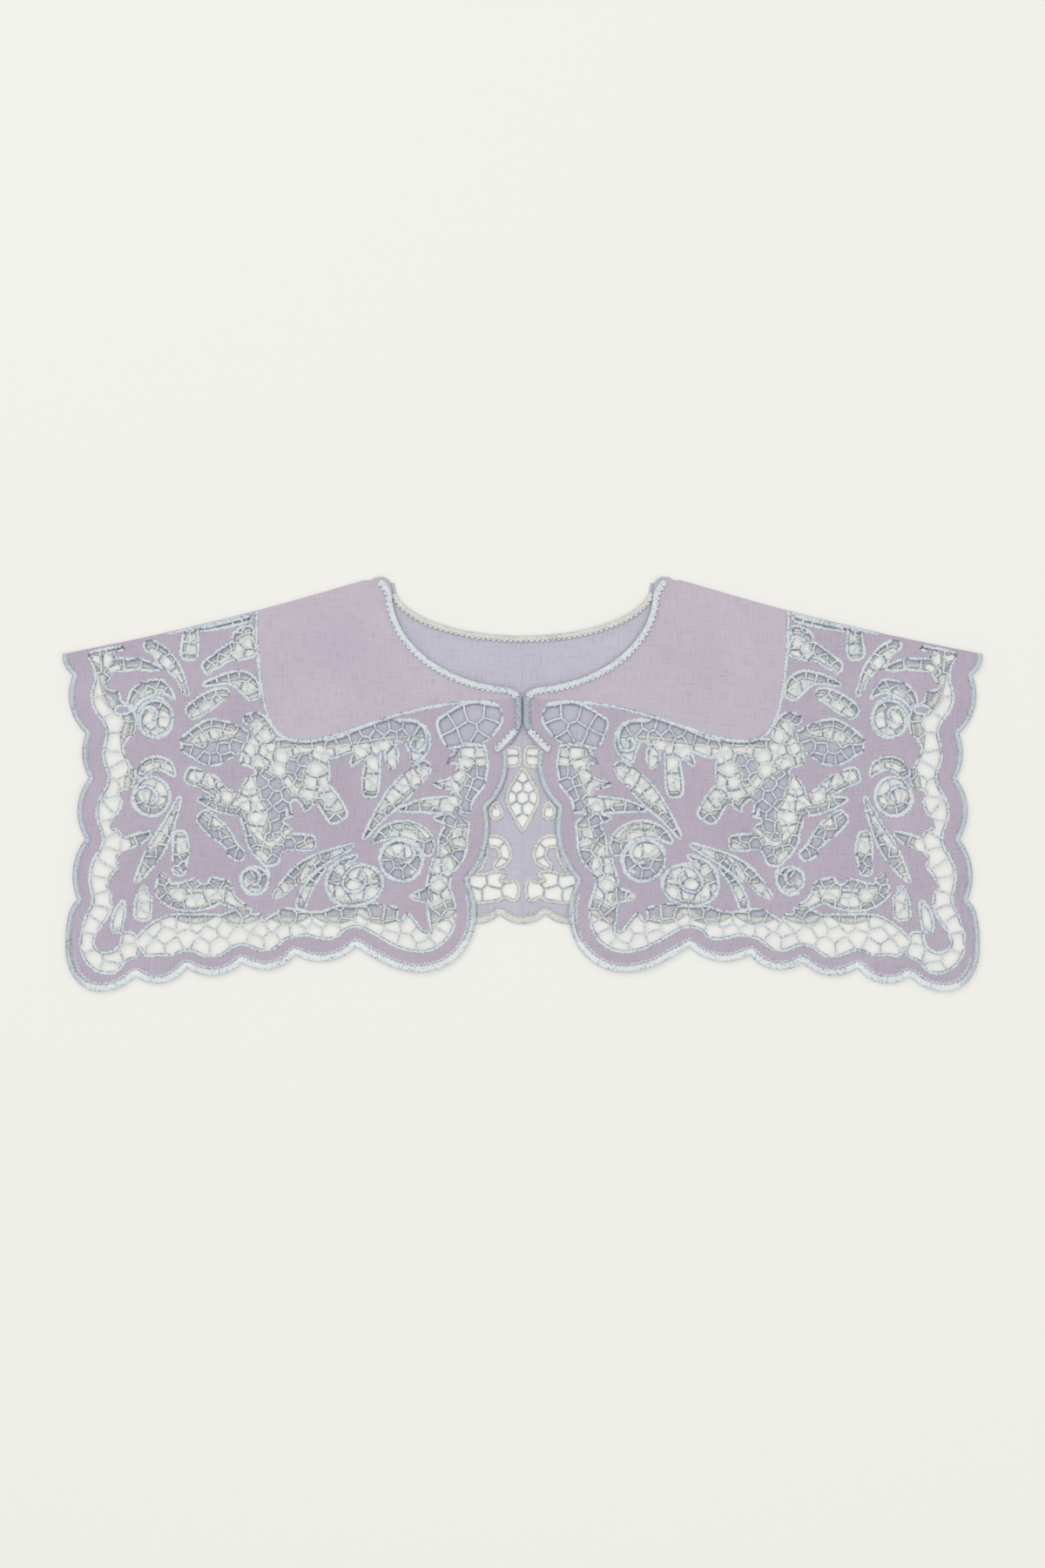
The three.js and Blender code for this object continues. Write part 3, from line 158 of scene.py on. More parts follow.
# ---- open ground of the fronts, as ribbons ----
# name, sections of [u, y, width between the cords]
FRONT_VOIDS = [
    ("side net, upper", [(243, 76, 10), (242, 66, 12.5), (243.5, 57.5, 8), (240.5, 50, 16), (239.5, 44, 17),
        (236, 36, 26), (235.5, 30, 23), (237.5, 22, 19), (237.5, 14, 19.5), (235, 5, 24), (239.5, -3.5, 15),
        (239, -10, 16), (241.5, -18, 12), (242.5, -23.5, 9)]),
    ("side net, lower", [(238.5, -29, 14), (239, -36, 17), (241, -43, 13), (240.5, -49.5, 17),
        (242.5, -56, 13), (243, -61, 10), (242, -66, 14), (243.5, -73, 11), (246, -79, 8), (248.5, -84, 7),
        (249, -91, 8), (246.5, -98, 8.5), (240.5, -102.5, 9.5), (232.5, -101, 10.5), (226.5, -95, 11),
        (226.5, -88, 7)]),
    ("hem net", [(216, -92, 12), (208, -88.5, 18), (200, -87, 22), (190, -87, 22), (180, -87, 22),
        (170, -87, 22), (160, -84, 23), (150, -84, 22), (140, -82.5, 20), (132, -80, 15), (124, -80, 11),
        (113, -81, 14), (104, -78.5, 15), (96, -77.5, 14), (86, -77, 15), (77, -80, 18), (68, -85, 20),
        (60, -89, 16), (54, -92, 8)]),
    ("edge net, low", [(48.5, -45, 5), (47.5, -52, 11), (47, -60, 14), (46.5, -70, 14), (46, -80, 12),
        (46.5, -88, 9), (49, -95, 5)]),
    ("edge net, low, spike", [(50, -63.5, 7), (57, -64, 5), (65, -64.3, 0)]),
    ("edge net, middle", [(36, -23, 9), (39.5, -31, 14), (40.5, -39, 13.5), (43.5, -46, 10)]),
    ("edge net, high", [(29.5, 19, 14), (28, 12, 14), (30.4, 4, 16.8), (30.5, -4, 15.5), (35, -11, 13)]),
    ("edge net, spike", [(32, 16.5, 7), (38, 14.3, 4.5), (43.5, 12.3, 0)]),
    ("yoke fan", [(43.3, 28.5, 18), (36, 31.5, 21), (27, 35, 22), (15, 38.5, 17)]),
    ("yoke net", [(116, 19.5, 8), (108, 20.5, 8.5), (101, 23, 8), (92, 25.2, 11.5), (82, 27.5, 14),
        (75, 30, 14)]),
    ("heart net", [(132, 22.5, 33), (131.5, 14, 36), (131.5, 6, 39), (139, -2, 37), (148.5, -10, 28),
        (148.5, -18, 24), (146, -25, 24), (146, -32, 23), (145.5, -38, 17), (144.5, -43.5, 8)]),
    ("yoke corner net", [(150, 31, 9), (150.5, 24, 14), (154, 16.5, 14), (158, 11.5, 6)]),
    ("almond net", [(198.5, 21.6, 0), (190, 22.8, 13.5), (182, 23.3, 23), (175, 24, 24.5), (167, 25.3, 18),
        (160, 25.5, 9.5), (156, 25.5, 5)]),
    ("hem ground", [(207, -53, 5), (205.5, -61, 9), (197, -64.5, 13), (188, -63.5, 16), (179, -61.5, 16),
        (172, -62, 12), (166, -67, 6), (160.5, -69.8, 2.5)]),
    ("leaf 1", [(207.5, 65.5, 0), (215, 67.5, 3.5), (223, 69, 5), (231, 69, 6.5), (237, 68.5, 6)]),
    ("leaf 2", [(224, 77, 0.5), (230, 77.9, 2.5), (237, 77.6, 3.5)]),
    ("leaf 3", [(214.5, 80, 4.5), (207.5, 74.5, 7), (200, 65.5, 6), (195.5, 57, 3), (192, 51, 0)]),
    ("leaf 4", [(180, 66.5, 6.5), (172, 72, 8), (164, 76.5, 9.5), (157, 79, 11)]),
    ("leaf 4, upper", [(155.8, 88, 3), (160, 87.3, 3.5), (165, 84.5, 1.5)]),
    ("shoulder slit", [(184, 89.2, 1.5), (176, 91.4, 3), (166, 93.6, 3.2), (157, 95.4, 2.6)]),
    ("leaf 5", [(182.5, 57, 0), (175, 59.2, 2), (168, 60.6, 4.5), (161, 59.5, 8.5), (156.5, 55.5, 9),
        (154.5, 51, 6)]),
    ("leaf 6", [(189.5, 41.3, 6.5), (183, 45.8, 8), (176, 50, 6.5), (170.5, 52, 4)]),
    ("leaf 7", [(158, 37, 3.5), (152.5, 36.8, 6.5), (148, 32, 6)]),
    ("leaf 8", [(190, 4.7, 7.5), (183, 2.3, 7.8), (176, -2, 7.5), (168, -6, 5)]),
    ("leaf 9", [(186, -8.7, 0), (177, -11, 5), (167, -13.5, 6.5), (160, -14.5, 5)]),
    ("leaf 10", [(183, -19.3, 7), (177.3, -24.3, 8.3), (171.3, -30.3, 7.5), (167, -37, 6), (162, -41, 5)]),
    ("leaf 11", [(55.5, 9.3, 6.5), (61.5, 4.7, 8.3), (70.8, -5, 9.3), (76.8, -12, 7.4), (83.3, -20, 3.6),
        (90.8, -31, 0)]),
    ("leaf 12", [(36, 1.5, 6), (43, -0.2, 3.2), (53, -0.8, 0)]),
    ("leaf 13", [(40, -12, 8), (47, -12.2, 7), (58, -12.6, 5), (70.5, -14.8, 0)]),
    ("leaf 14", [(38, -20, 6), (43, -20, 4), (50, -19.7, 0)]),
    ("leaf 15", [(213.5, -28, 0), (219, -31, 3.5), (225, -33.5, 4.5), (232.5, -36, 5)]),
    ("leaf 16", [(196.5, -8, 0), (200.5, -18, 2.8), (205, -28, 5.6), (210.5, -38, 7), (215.8, -47, 5),
        (221.8, -57, 0)]),
    ("leaf 17", [(196.5, -29.5, 5), (196, -36, 7), (196, -43, 7), (197, -50, 5)]),
    ("leaf 18", [(229, -67.5, 0), (231, -74, 4), (232.5, -81, 4.5), (232.5, -85, 3)]),
    ("leaf 19", [(97, -35, 0), (106, -39, 2.8), (115, -43, 5), (125, -49, 7.2), (134, -57, 5.8),
        (142, -65, 1.5)]),
    ("leaf 20", [(113.5, -48, 0), (120, -55, 2), (124.8, -63, 3.5), (127, -70, 3.5)]),
    ("drop 1", [(190.3, 88.5, 4.5), (190.6, 81.5, 7), (191.3, 74.5, 7.5)]),
    ("drop 2", [(118.5, 1, 5), (115, -4.5, 9), (110.5, -11, 10.3), (106.3, -18, 10)]),
    ("drop 3", [(86, 17.5, 6.5), (86.2, 10, 6.5), (87, 2, 7.5), (87.5, -4.5, 7)]),
    ("drop 3, right", [(90.5, 18, 3.5), (95, 15.5, 3), (98, 11, 0)]),
    ("drop 4", [(75, 18.5, 5.5), (75, 13, 4.5), (74.3, 8, 1)]),
    ("drop 5", [(74, 29.5, 11), (67, 31, 10), (61.5, 28.5, 12), (60, 23, 12), (60.5, 18, 8),
        (62.5, 14, 2)]),
    ("drop 6", [(216.5, -60, 4.5), (217.3, -67, 7), (217.8, -75, 7.5)]),
    ("drop 7", [(121.5, -33.8, 6.5), (128, -33.5, 7), (134, -33, 7)]),
    ("crescent 1", [(197.5, 47, 0), (201, 53.5, 4.5), (207.5, 56, 5.5), (215, 55, 6.5), (221, 51, 6),
        (223.5, 46.5, 4)]),
    ("crescent 2", [(200, 5, 0), (203.5, 10, 4), (209, 12, 5), (215, 10.5, 5.5), (218.8, 6, 4)]),
    ("crescent 3", [(85.5, -33.3, 0), (79, -28.3, 5), (70, -26, 7.5), (61, -28, 8), (55, -34, 7.5),
        (54.5, -39, 4)]),
    ("crescent 4", [(95.5, -41.5, 0), (102, -45, 3), (107.5, -51, 5.5), (109, -58, 5)]),
]
# open ground of the scrolls: name, u, y, half width, half height
FRONT_SCROLLS = [
    ("scroll 1", 69.8, -44, 12, 11.9),
    ("scroll 2", 96.3, -57.8, 16, 12.4),
    ("scroll 3", 153.8, -55.6, 8.3, 8.3),
    ("scroll 4", 210.6, 37, 10.4, 11),
    ("scroll 5", 212.6, -7, 10.6, 11.2),
]
# single cords that cross the open ground on their own: name, points [u, y]
FRONT_STEMS = [
    ("scroll 1", [(58, -37.5), (56.8, -44), (59.6, -51.4), (65.5, -55.6), (72.5, -55), (78.6, -51),
        (81.8, -44.5), (81, -37.6), (76, -32.9), (69.4, -32), (63.8, -35.2), (62.2, -40.6), (65.2, -44.6),
        (70.5, -45.2)]),
    ("scroll 2", [(97, -41.4), (104.4, -43.6), (109.8, -49.2), (112.6, -57), (111, -64), (105, -69),
        (96, -70), (87, -67.4), (81, -61.6), (80, -54.6), (84.5, -48.6), (91, -46.4), (97.5, -48),
        (102, -52.8), (103, -58), (99.6, -61.7), (94.6, -61.4), (90.6, -58), (90, -53.4), (93, -50.6)]),
    ("scroll 3", [(147.4, -46), (145.6, -52), (147, -59), (151.8, -63), (157.4, -62), (161, -57.6),
        (161.2, -52.4), (158, -48.8), (153.6, -49), (150.8, -52.6), (152, -56.8), (155.6, -58)]),
    ("scroll 4", [(223.4, 41), (219.4, 47.4), (212.6, 49.8), (206, 48.4), (201.8, 43), (200.9, 36.6),
        (203.6, 30.6), (209.6, 27), (215.6, 28), (219.2, 33), (219, 39.6), (215.8, 43.8), (211.2, 43.2),
        (209.6, 39.4), (212, 36.4)]),
    ("scroll 5", [(221, 3), (217, 3.4), (211.5, 4.2), (205.6, 1), (202.4, -5.4), (203.8, -12.6),
        (208.6, -17.4), (215, -18.4), (221, -15.4), (223.8, -9.6), (221.6, -3.6), (216, -1.4), (211, -4),
        (209.8, -9), (213.6, -11.8)]),
    ("yoke line", [(152.4, 104), (152.5, 92), (152.3, 82), (150.3, 60), (147, 42), (141.5, 30.5),
        (133, 25.3), (121, 24.8), (104, 29), (86, 35), (66, 41), (46, 45.2), (28, 47.2), (16, 46.2),
        (13, 44)]),
    ("yoke curl", [(72, 36), (64.5, 36.4), (57.5, 33.5), (54.8, 27), (56.5, 20.5), (61, 18.8), (64.2, 22),
        (62.4, 26.2), (59.4, 25)]),
    ("shoulder cord", [(153.5, 98.4), (165, 95.6), (180, 91.8), (196, 88), (205, 85.8)]),
    ("fan rim", [(20, 21.4), (28, 22.6), (36, 21.6), (42.6, 20)]),
]
# cloth between a free edge and the open ground
BORDERS = {"hem": 10.7, "inner": 11.8, "centre": 9.3, "neck": 10.9, "shoulder": 2.4}
BORDER_SIDE = (11.45, 0.033)  # width at y = 0, and how much it grows per mm up the side
YOKE_REST = [(10, 48.9), (4, 50), (0, 54), (0, 130), (80, 130), (152.8, 112)]  # round the yoke, past its line
OUTER_TURNS = (-100, -117)  # heights where the hem's wide edging starts and the side's narrow one ends
INNER_TURNS = (-92, -62)  # heights where the centre's narrow edging starts and the hem's wide one ends
INNER_SIDE = 50  # distance from the centre line within which those heights count
# the trim on a front: over the shoulder, then after the neck curve down the centre and out again
TRIM_TOP = [(82, 117.6), (78.6, 116.4), (77.2, 113.0)]
TRIM_FOOT = [
    (5.2, 54.2), (2.2, 52.2), (0.7, 49.5), (0.7, 34.5), (2.2, 30.4), (5.6, 26.2), (10, 21.6), (14.4, 17.6),
]
TRIM_STEP = 0.8
TRIM_TURNS = (51, 31)  # the trim is slate between these heights, where the fronts meet
STEM_WIDE = 2.0  # cloth under a single cord
CORD_HALF = 1.2  # from the linen that shows to the edge of the cloth, under the cord
# ---- the back's open ground, as ribbons: name, sections of [u, y, clear width] ----
BACK_VOIDS = [
    ("yoke net", [(3.7, 15.7, 11.5), (20, 16, 11.5), (34, 16, 11.5)]),
    ("teardrop", [(15, -10.5, 2), (15.2, -15, 7), (15, -18, 7)]),
    ("scroll", [(19, -32.8, 6.5), (12.5, -34, 6.5), (9.8, -42, 6.5), (15.5, -47.6, 4)]),
    ("hem net, centre", [(44, -58.5, 14), (37, -58.5, 17), (30, -59.5, 17), (22, -60, 16), (14, -58.5, 17),
        (7.5, -60.5, 13), (4.5, -65.5, 5)]),
    ("edge net, centre", [(33, 13, 8), (37, 6, 12), (42, -3, 13), (44, -14, 12)]),
    ("side net, centre", [(39, -30, 12), (31, -31, 14), (26, -38, 12), (29, -46, 12)]),
]
# under the fronts the back repeats their pattern, narrower and shorter:
# [narrower, shorter, height below which it is shorter, the back's height for that one]
BACK_REPEAT = (0.995, 0.8, 25, 21)
BACK_FIELD_FROM = 36  # distance from the centre line
BACK_BORDERS = {"fold": 4, "back side": 6.5, "back hem": 8.5}
BACK_LEAVES = [
    ("stem leaf", [(2.5, -52, 3), (8, -54, 4.5), (13.5, -55.5, 0)]),
    ("under the yoke net", [(46, 37, 18), (75, 35, 17), (105, 27.5, 10), (128, 24, 4)]),
    ("under the heart, foot", [(153, 8, 4), (144, -4, 15), (138, -16, 14), (146, -30, 6)]),
    ("under the heart, top", [(122, 16, 4), (130, 10, 10), (128, 0, 4)]),
    ("under the almond", [(196, 22, 3), (184, 17, 12), (172, 19, 14), (160, 26, 6)]),
    ("under the hem ground", [(200, -44, 4), (190, -47, 12), (178, -46, 10), (168, -44, 3)]),
]
MEDALLION = [(0, 8.8, 1.5), (0, 3, 8.5), (0, -7, 18.5), (0, -16, 13), (0, -28, 0)]
MEDALLION_MIDDLES = (-7.6, 4.2, -21)
MEDALLION_RING = (7.2, 6)  # radius of the ring of cells, and how many
SIDE_NET_FROM, SIDE_NET_PITCH = 222, 13.5
NET_PITCH, EDGE_NET_PITCH = 7.8, 12  # of the bars, amid the leaves and along the free edges
HEM_NET_BELOW = -76
FAN_NET_WITHIN, FAN_NET_ABOVE = 52, 14
SAMPLE_PITCH = 1.25
CURVE_STEP = 1.5
CAP_SHARE, CAP_MOST, CAP_POWER = 0.6, 2.6, 0.7


# ---- plane geometry, mm ----
def between(a, b, t):
    return a + (b - a) * t


def far(a, b):
    return math.hypot(a[0] - b[0], a[1] - b[1])


def mirrored(points):
    return [(-p[0], p[1]) for p in reversed(points)]


def arc_to(a, b, rise):
    """Points after a, up to b, on an arc that rises to the left of the chord."""
    chord = far(a, b)
    ax, ay = (b[0] - a[0]) / chord, (b[1] - a[1]) / chord
    turn = 4 * math.atan(2 * rise / chord)
    radius = chord / (2 * math.sin(turn / 2))
    steps = max(6, round(abs(turn * radius) / CURVE_STEP))
    points = []
    for k in range(1, steps + 1):
        angle = turn * (k / steps - 0.5)
        x, off = radius * math.sin(angle), radius * (math.cos(angle) - math.cos(turn / 2))
        points.append(((a[0] + b[0]) / 2 + ax * x - ay * off, (a[1] + b[1]) / 2 + ay * x + ax * off))
    return points


def smoothed(rows, step=CURVE_STEP):
    """Catmull-Rom through rows, all of whose columns are interpolated."""
    points = []
    for i in range(len(rows) - 1):
        b, c = rows[i], rows[i + 1]
        a = rows[i - 1] if i else [2 * v - w for v, w in zip(b, c)]
        d = rows[i + 2] if i < len(rows) - 2 else [2 * w - v for v, w in zip(b, c)]
        steps = max(2, round(far(b, c) / step))
        for j in range(steps):
            t = j / steps
            points.append([
                0.5 * (2 * q + (r - p) * t
                       + (2 * p - 5 * q + 4 * r - s) * t * t
                       + (3 * q - p - 3 * r + s) * t ** 3)
                for p, q, r, s in zip(a, b, c, d)
            ])
    points.append(list(rows[-1]))
    return points


def spine_of(sections):
    return [[u, y, max(wide, 0)] for u, y, wide in smoothed(sections)]


def normals_of(path, closed=False):
    """Unit normals to the left of a path."""
    count = len(path)
    normals = []
    for i in range(count):
        a = path[i - 1] if closed or i else path[0]
        b = path[(i + 1) % count] if closed or i < count - 1 else path[-1]
        long = far(a, b) or 1
        normals.append((-(b[1] - a[1]) / long, (b[0] - a[0]) / long))
    return normals


def rail_of(spine, side, grow=0.0):
    return [
        (x + side * nx * (wide / 2 + grow), y + side * ny * (wide / 2 + grow))
        for (x, y, wide), (nx, ny) in zip(spine, normals_of(spine))
    ]


def cap_of(spine, at_end, grow=0.0):
    """The squarish round end of a ribbon, from its left side to its right."""
    index = -1 if at_end else 0
    x, y, wide = spine[index]
    nx, ny = normals_of(spine)[index]
    sign = 1 if at_end else -1
    half, reach = wide / 2 + grow, (min(wide / 2 * CAP_SHARE, CAP_MOST) + grow) * sign
    steps = max(2, min(8, round(half * 1.5)))
    points = []
    for k in range(1, steps):
        a = math.pi * k / steps
        side = math.copysign(abs(math.cos(a)) ** CAP_POWER, math.cos(a)) * half
        out = math.sin(a) ** CAP_POWER * reach
        points.append((x + nx * side + ny * out, y + ny * side - nx * out))
    return points


def ribbon(spine, grow=0.0):
    return [
        *rail_of(spine, 1, grow), *cap_of(spine, True, grow),
        *reversed(rail_of(spine, -1, grow)), *reversed(cap_of(spine, False, grow)),
    ]


def wobble(i, k):
    """A small fixed irregularity between -0.5 and 0.5."""
    return (math.sin(12.9898 * (i + 1) + 78.233 * (k + 1)) * 43758.5453) % 1 - 0.5


def sums_of(path):
    sums = [0.0]
    for a, b in zip(path, path[1:]):
        sums.append(sums[-1] + far(a, b))
    return sums


def paced(path, step, closed=False):
    """The path again, with its points evenly spaced."""
    if closed:
        path = [*path, path[0]]
    sums = sums_of(path)
    count = max(2, round(sums[-1] / step))
    points, j = [], 0
    for k in range(count if closed else count + 1):
        length = sums[-1] * k / count
        while j < len(sums) - 2 and sums[j + 1] < length:
            j += 1
        t = (length - sums[j]) / ((sums[j + 1] - sums[j]) or 1)
        points.append([between(a, b, t) for a, b in zip(path[j], path[j + 1])])
    return points


def eased(path, rounds, closed=False):
    """The path with its corners softened."""
    for _ in range(rounds):
        count = len(path)
        path = [
            path[i] if not closed and i in (0, count - 1)
            else [(path[i - 1][k] + 2 * path[i][k] + path[(i + 1) % count][k]) / 4 for k in (0, 1)]
            for i in range(count)
        ]
    return path


def inside(point, polygon):
    """True if a point is in a polygon, by winding number, so that a polygon may cross itself."""
    x, y = point[0], point[1]
    turns = 0
    ax, ay = polygon[-1][0], polygon[-1][1]
    for corner in polygon:
        bx, by = corner[0], corner[1]
        if (ay > y) != (by > y):
            crossing = ax + (y - ay) * (bx - ax) / (by - ay)
            if crossing > x:
                turns += 1 if by > ay else -1
        ax, ay = bx, by
    return turns != 0


class Region:
    """A polygon with its box, for quick tests."""

    def __init__(self, polygon):
        self.polygon = polygon
        self.low = (min(p[0] for p in polygon), min(p[1] for p in polygon))
        self.high = (max(p[0] for p in polygon), max(p[1] for p in polygon))

    def holds(self, point):
        if not (self.low[0] < point[0] < self.high[0] and self.low[1] < point[1] < self.high[1]):
            return False
        return inside(point, self.polygon)


def in_any(point, regions):
    return any(region.holds(point) for region in regions)


SHORTEST_RUN = 4  # points of a rim


def runs_of(path, keep, closed=False):
    """The stretches of a path whose points are kept; one closed stretch if all of them are."""
    flags = [keep(p) for p in path]
    if all(flags):
        return [(path, closed)]
    if closed:
        start = flags.index(False)
        path, flags = path[start:] + path[:start], flags[start:] + flags[:start]
    runs, run = [], []
    for p, flag in zip(path, flags):
        if flag:
            run.append(p)
        elif run:
            runs.append((run, False))
            run = []
    if run:
        runs.append((run, False))
    return [(r, c) for r, c in runs if len(r) > 2]


# ---- the cutwork's chart ----
def clipped(polygon, px, py, nx, ny, tag):
    """What is left of a tagged polygon on the near side of a line; tag marks the new edge."""
    kept = []
    for a, b in zip(polygon, polygon[1:] + polygon[:1]):
        da = (a[0] - px) * nx + (a[1] - py) * ny
        db = (b[0] - px) * nx + (b[1] - py) * ny
        if da <= 0:
            kept.append(a)
        if (da <= 0) != (db <= 0):
            t = da / (da - db)
            kept.append((between(a[0], b[0], t), between(a[1], b[1], t), tag if da <= 0 else a[2]))
    return kept


def border_width(part, y):
    """Cloth between a free edge and the open ground."""
    if part == "side":
        return BORDER_SIDE[0] + BORDER_SIDE[1] * y
    return BORDERS[part] if part in BORDERS else BACK_BORDERS[part]


EDGE_STEP, INNER_STEP = 2.0, 1.5
EDGE_SLACK = 0.15  # how much narrower than its width a border may come out


def inner_edge(parts):
    """The line where the open ground starts, inside a closed outline given as (border, points) parts."""
    edge = [
        (p[0], p[1], border_width(part, p[1]))
        for part, points in parts for p in paced(points, EDGE_STEP)[:-1]
    ]
    normals = normals_of(edge, True)
    line = []
    for i, (x, y, wide) in enumerate(edge):
        before, after = normals[i - 1], normals[(i + 1) % len(edge)]
        for t in (0, 0.25, 0.5, 0.75, 1):
            nx, ny = between(before[0], after[0], t), between(before[1], after[1], t)
            long = math.hypot(nx, ny) or 1
            spot = (x - nx / long * wide, y - ny / long * wide)
            if all((spot[0] - q[0]) ** 2 + (spot[1] - q[1]) ** 2 > (q[2] - EDGE_SLACK) ** 2 for q in edge):
                line.append(spot)
    return paced(eased(paced(line, INNER_STEP, True), 2, True), EDGE_STEP, True)


class Ground:
    """Open ground: within the borders, inside one of the open shapes and on no linen."""

    def __init__(self, field, opens, plates):
        self.field = Region(field)
        self.opens, self.plates = [Region(p) for p in opens], [Region(p) for p in plates]

    def holds(self, point):
        return self.field.holds(point) and in_any(point, self.opens) and not in_any(point, self.plates)

    def samples(self, pitch):
        low, high = self.field.low, self.field.high
        spots = []
        for i in range(int((high[0] - low[0]) / pitch) + 1):
            for j in range(int((high[1] - low[1]) / pitch) + 1):
                spot = (low[0] + i * pitch, low[1] + j * pitch)
                if self.holds(spot):
                    spots.append(spot)
        return spots

    def rims(self, step):
        """The edges of the cloth round the open ground, as (points, closed)."""
        rims = runs_of(
            paced(self.field.polygon, step, True),
            lambda p: in_any(p, self.opens) and not in_any(p, self.plates), True)
        for i, region in enumerate(self.opens):
            covers = self.opens[:i] + self.opens[i + 1:] + self.plates
            rims += runs_of(
                paced(region.polygon, step, True),
                lambda p: self.field.holds(p) and not in_any(p, covers), True)
        for i, region in enumerate(self.plates):
            others = self.plates[:i] + self.plates[i + 1:]
            rims += runs_of(
                paced(region.polygon, step, True),
                lambda p: self.field.holds(p) and in_any(p, self.opens) and not in_any(p, others), True)
        return [(run, closed) for run, closed in rims if len(run) >= SHORTEST_RUN]


CROWDING = 0.74  # how close two middles may be, as a share of the pitch
NEAR_SQUARE, WIDE_SQUARE = 10, 12  # squares that the middles are sorted into, for a quick search


def cell_middles(spots, pitch_at, rounds=5):
    """Middles for a net's cells over sample spots: scattered, then each moved to the middle of its cell."""
    order = sorted(range(len(spots)), key=lambda k: wobble(k, 11))
    middles, buckets = [], {}
    for k in order:
        spot = spots[k]
        near = pitch_at(spot) * CROWDING
        i, j = int(spot[0] // NEAR_SQUARE), int(spot[1] // NEAR_SQUARE)
        around = [q for a in (-1, 0, 1) for b in (-1, 0, 1) for q in buckets.get((i + a, j + b), ())]
        if all(far(spot, q) > near for q in around):
            middles.append(spot)
            buckets.setdefault((i, j), []).append(spot)
    for _ in range(rounds):
        buckets = {}
        for k, m in enumerate(middles):
            square = (int(m[0] // WIDE_SQUARE), int(m[1] // WIDE_SQUARE))
            buckets.setdefault(square, []).append(k)
        sums = [[0.0, 0.0, 0] for _ in middles]
        for spot in spots:
            i, j = int(spot[0] // WIDE_SQUARE), int(spot[1] // WIDE_SQUARE)
            best, nearest = math.inf, None
            for a in (-1, 0, 1):
                for b in (-1, 0, 1):
                    for k in buckets.get((i + a, j + b), ()):
                        m = middles[k]
                        d = (m[0] - spot[0]) ** 2 + (m[1] - spot[1]) ** 2
                        if d < best:
                            best, nearest = d, k
            if nearest is not None:
                total = sums[nearest]
                total[0] += spot[0]
                total[1] += spot[1]
                total[2] += 1
        middles = [(s[0] / s[2], s[1] / s[2]) if s[2] else m for s, m in zip(sums, middles)]
    return middles


SHORTEST_EDGE = 1  # of a cell
SHORTEST_BAR = 2.2
BAR_PROBE = 0.5  # step of the search for where a bar meets the cloth


def net_bars(ground, middles, reach=26.0):
    """Bars midway between neighbouring middles, cut off just inside the cloth."""
    bars = []
    for i, site in enumerate(middles):
        corners = ((-1, -1), (1, -1), (1, 1), (-1, 1))
        cell = [(site[0] + a * reach, site[1] + b * reach, -1) for a, b in corners]
        near = [(far(site, other), j) for j, other in enumerate(middles) if i != j]
        near = sorted(pair for pair in near if pair[0] < reach)
        for long, j in near:
            other = middles[j]
            nx, ny = (other[0] - site[0]) / long, (other[1] - site[1]) / long
            cell = clipped(cell, site[0] + nx * long / 2, site[1] + ny * long / 2, nx, ny, j)
        for a, b in zip(cell, cell[1:] + cell[:1]):
            if a[2] > i and far(a, b) > SHORTEST_EDGE:
                path = paced([a[:2], b[:2]], BAR_PROBE)
                ends = [(run[0], run[-1]) for run, _ in runs_of(path, ground.holds)]
                bars += [pair for pair in ends if far(*pair) > SHORTEST_BAR]
    return bars


# ---- outlines ----
RUN = far(SHOULDER_NECK, SHOULDER_TIP)
ALONG = ((SHOULDER_TIP[0] - SHOULDER_NECK[0]) / RUN, (SHOULDER_TIP[1] - SHOULDER_NECK[1]) / RUN)
OUT = (-ALONG[1], ALONG[0])  # square to the fold, away from the panel
ROLL_MIDDLE = (FRONT_MIDDLE + BACK_MIDDLE) / 2
ROLL_RADIUS = (FRONT_MIDDLE - BACK_MIDDLE) / 2
ROLL_LENGTH = math.pi * ROLL_RADIUS
FOLD_STEPS = 48


def dip(along):
    """How far the fold sags inwards, at a distance along it."""
    return FOLD_DIP * math.sin(math.pi * min(max(along / RUN, 0), 1))


def fold_line(beyond, steps=12):
    """Points along the fold, from neck to tip, a distance beyond the shoulder line."""
    points = []
    for k in range(steps + 1):
        along = RUN * k / steps
        out = beyond - dip(along)
        points.append((SHOULDER_NECK[0] + ALONG[0] * along + OUT[0] * out,
                       SHOULDER_NECK[1] + ALONG[1] * along + OUT[1] * out))
    return points


def fold_distance(u, y):
    """How far a point lies beyond the axis of the roll, and how far along it."""
    du, dy = u - SHOULDER_NECK[0], y - SHOULDER_NECK[1]
    along = du * ALONG[0] + dy * ALONG[1]
    return du * OUT[0] + dy * OUT[1] + FOLD_IN + dip(along), along


def scalloped(start, scallops, sign):
    points = [start]
    for u, y, rise in scallops:
        points += arc_to(points[-1], (u, y), sign * rise)
    return points


def neck_curve(ellipse, start, stop, step):
    y, across, deep = ellipse
    count = round((stop - start) / step)
    angles = [math.radians(start + k * step) for k in range(count + 1)]
    return [(across * math.cos(a), y + deep * math.sin(a)) for a in angles]


def front_side():
    return scalloped(fold_line(0.8)[-1], SIDE_SCALLOPS, 1)


def front_hem():
    outer = [tuple(p) for p in smoothed(OUTER_CORNER)]
    hem = scalloped(outer[-1], HEM_SCALLOPS, 1)
    inner = [tuple(p) for p in smoothed(INNER_CORNER)]
    return outer, hem, inner


def front_centre():
    return scalloped(INNER_CORNER[-1], CENTRE_SCALLOPS, 1)


def front_neck():
    return [*CENTRE_EDGE, *neck_curve(FRONT_NECK, *FRONT_NECK_ARC), *NECK_CORNER]


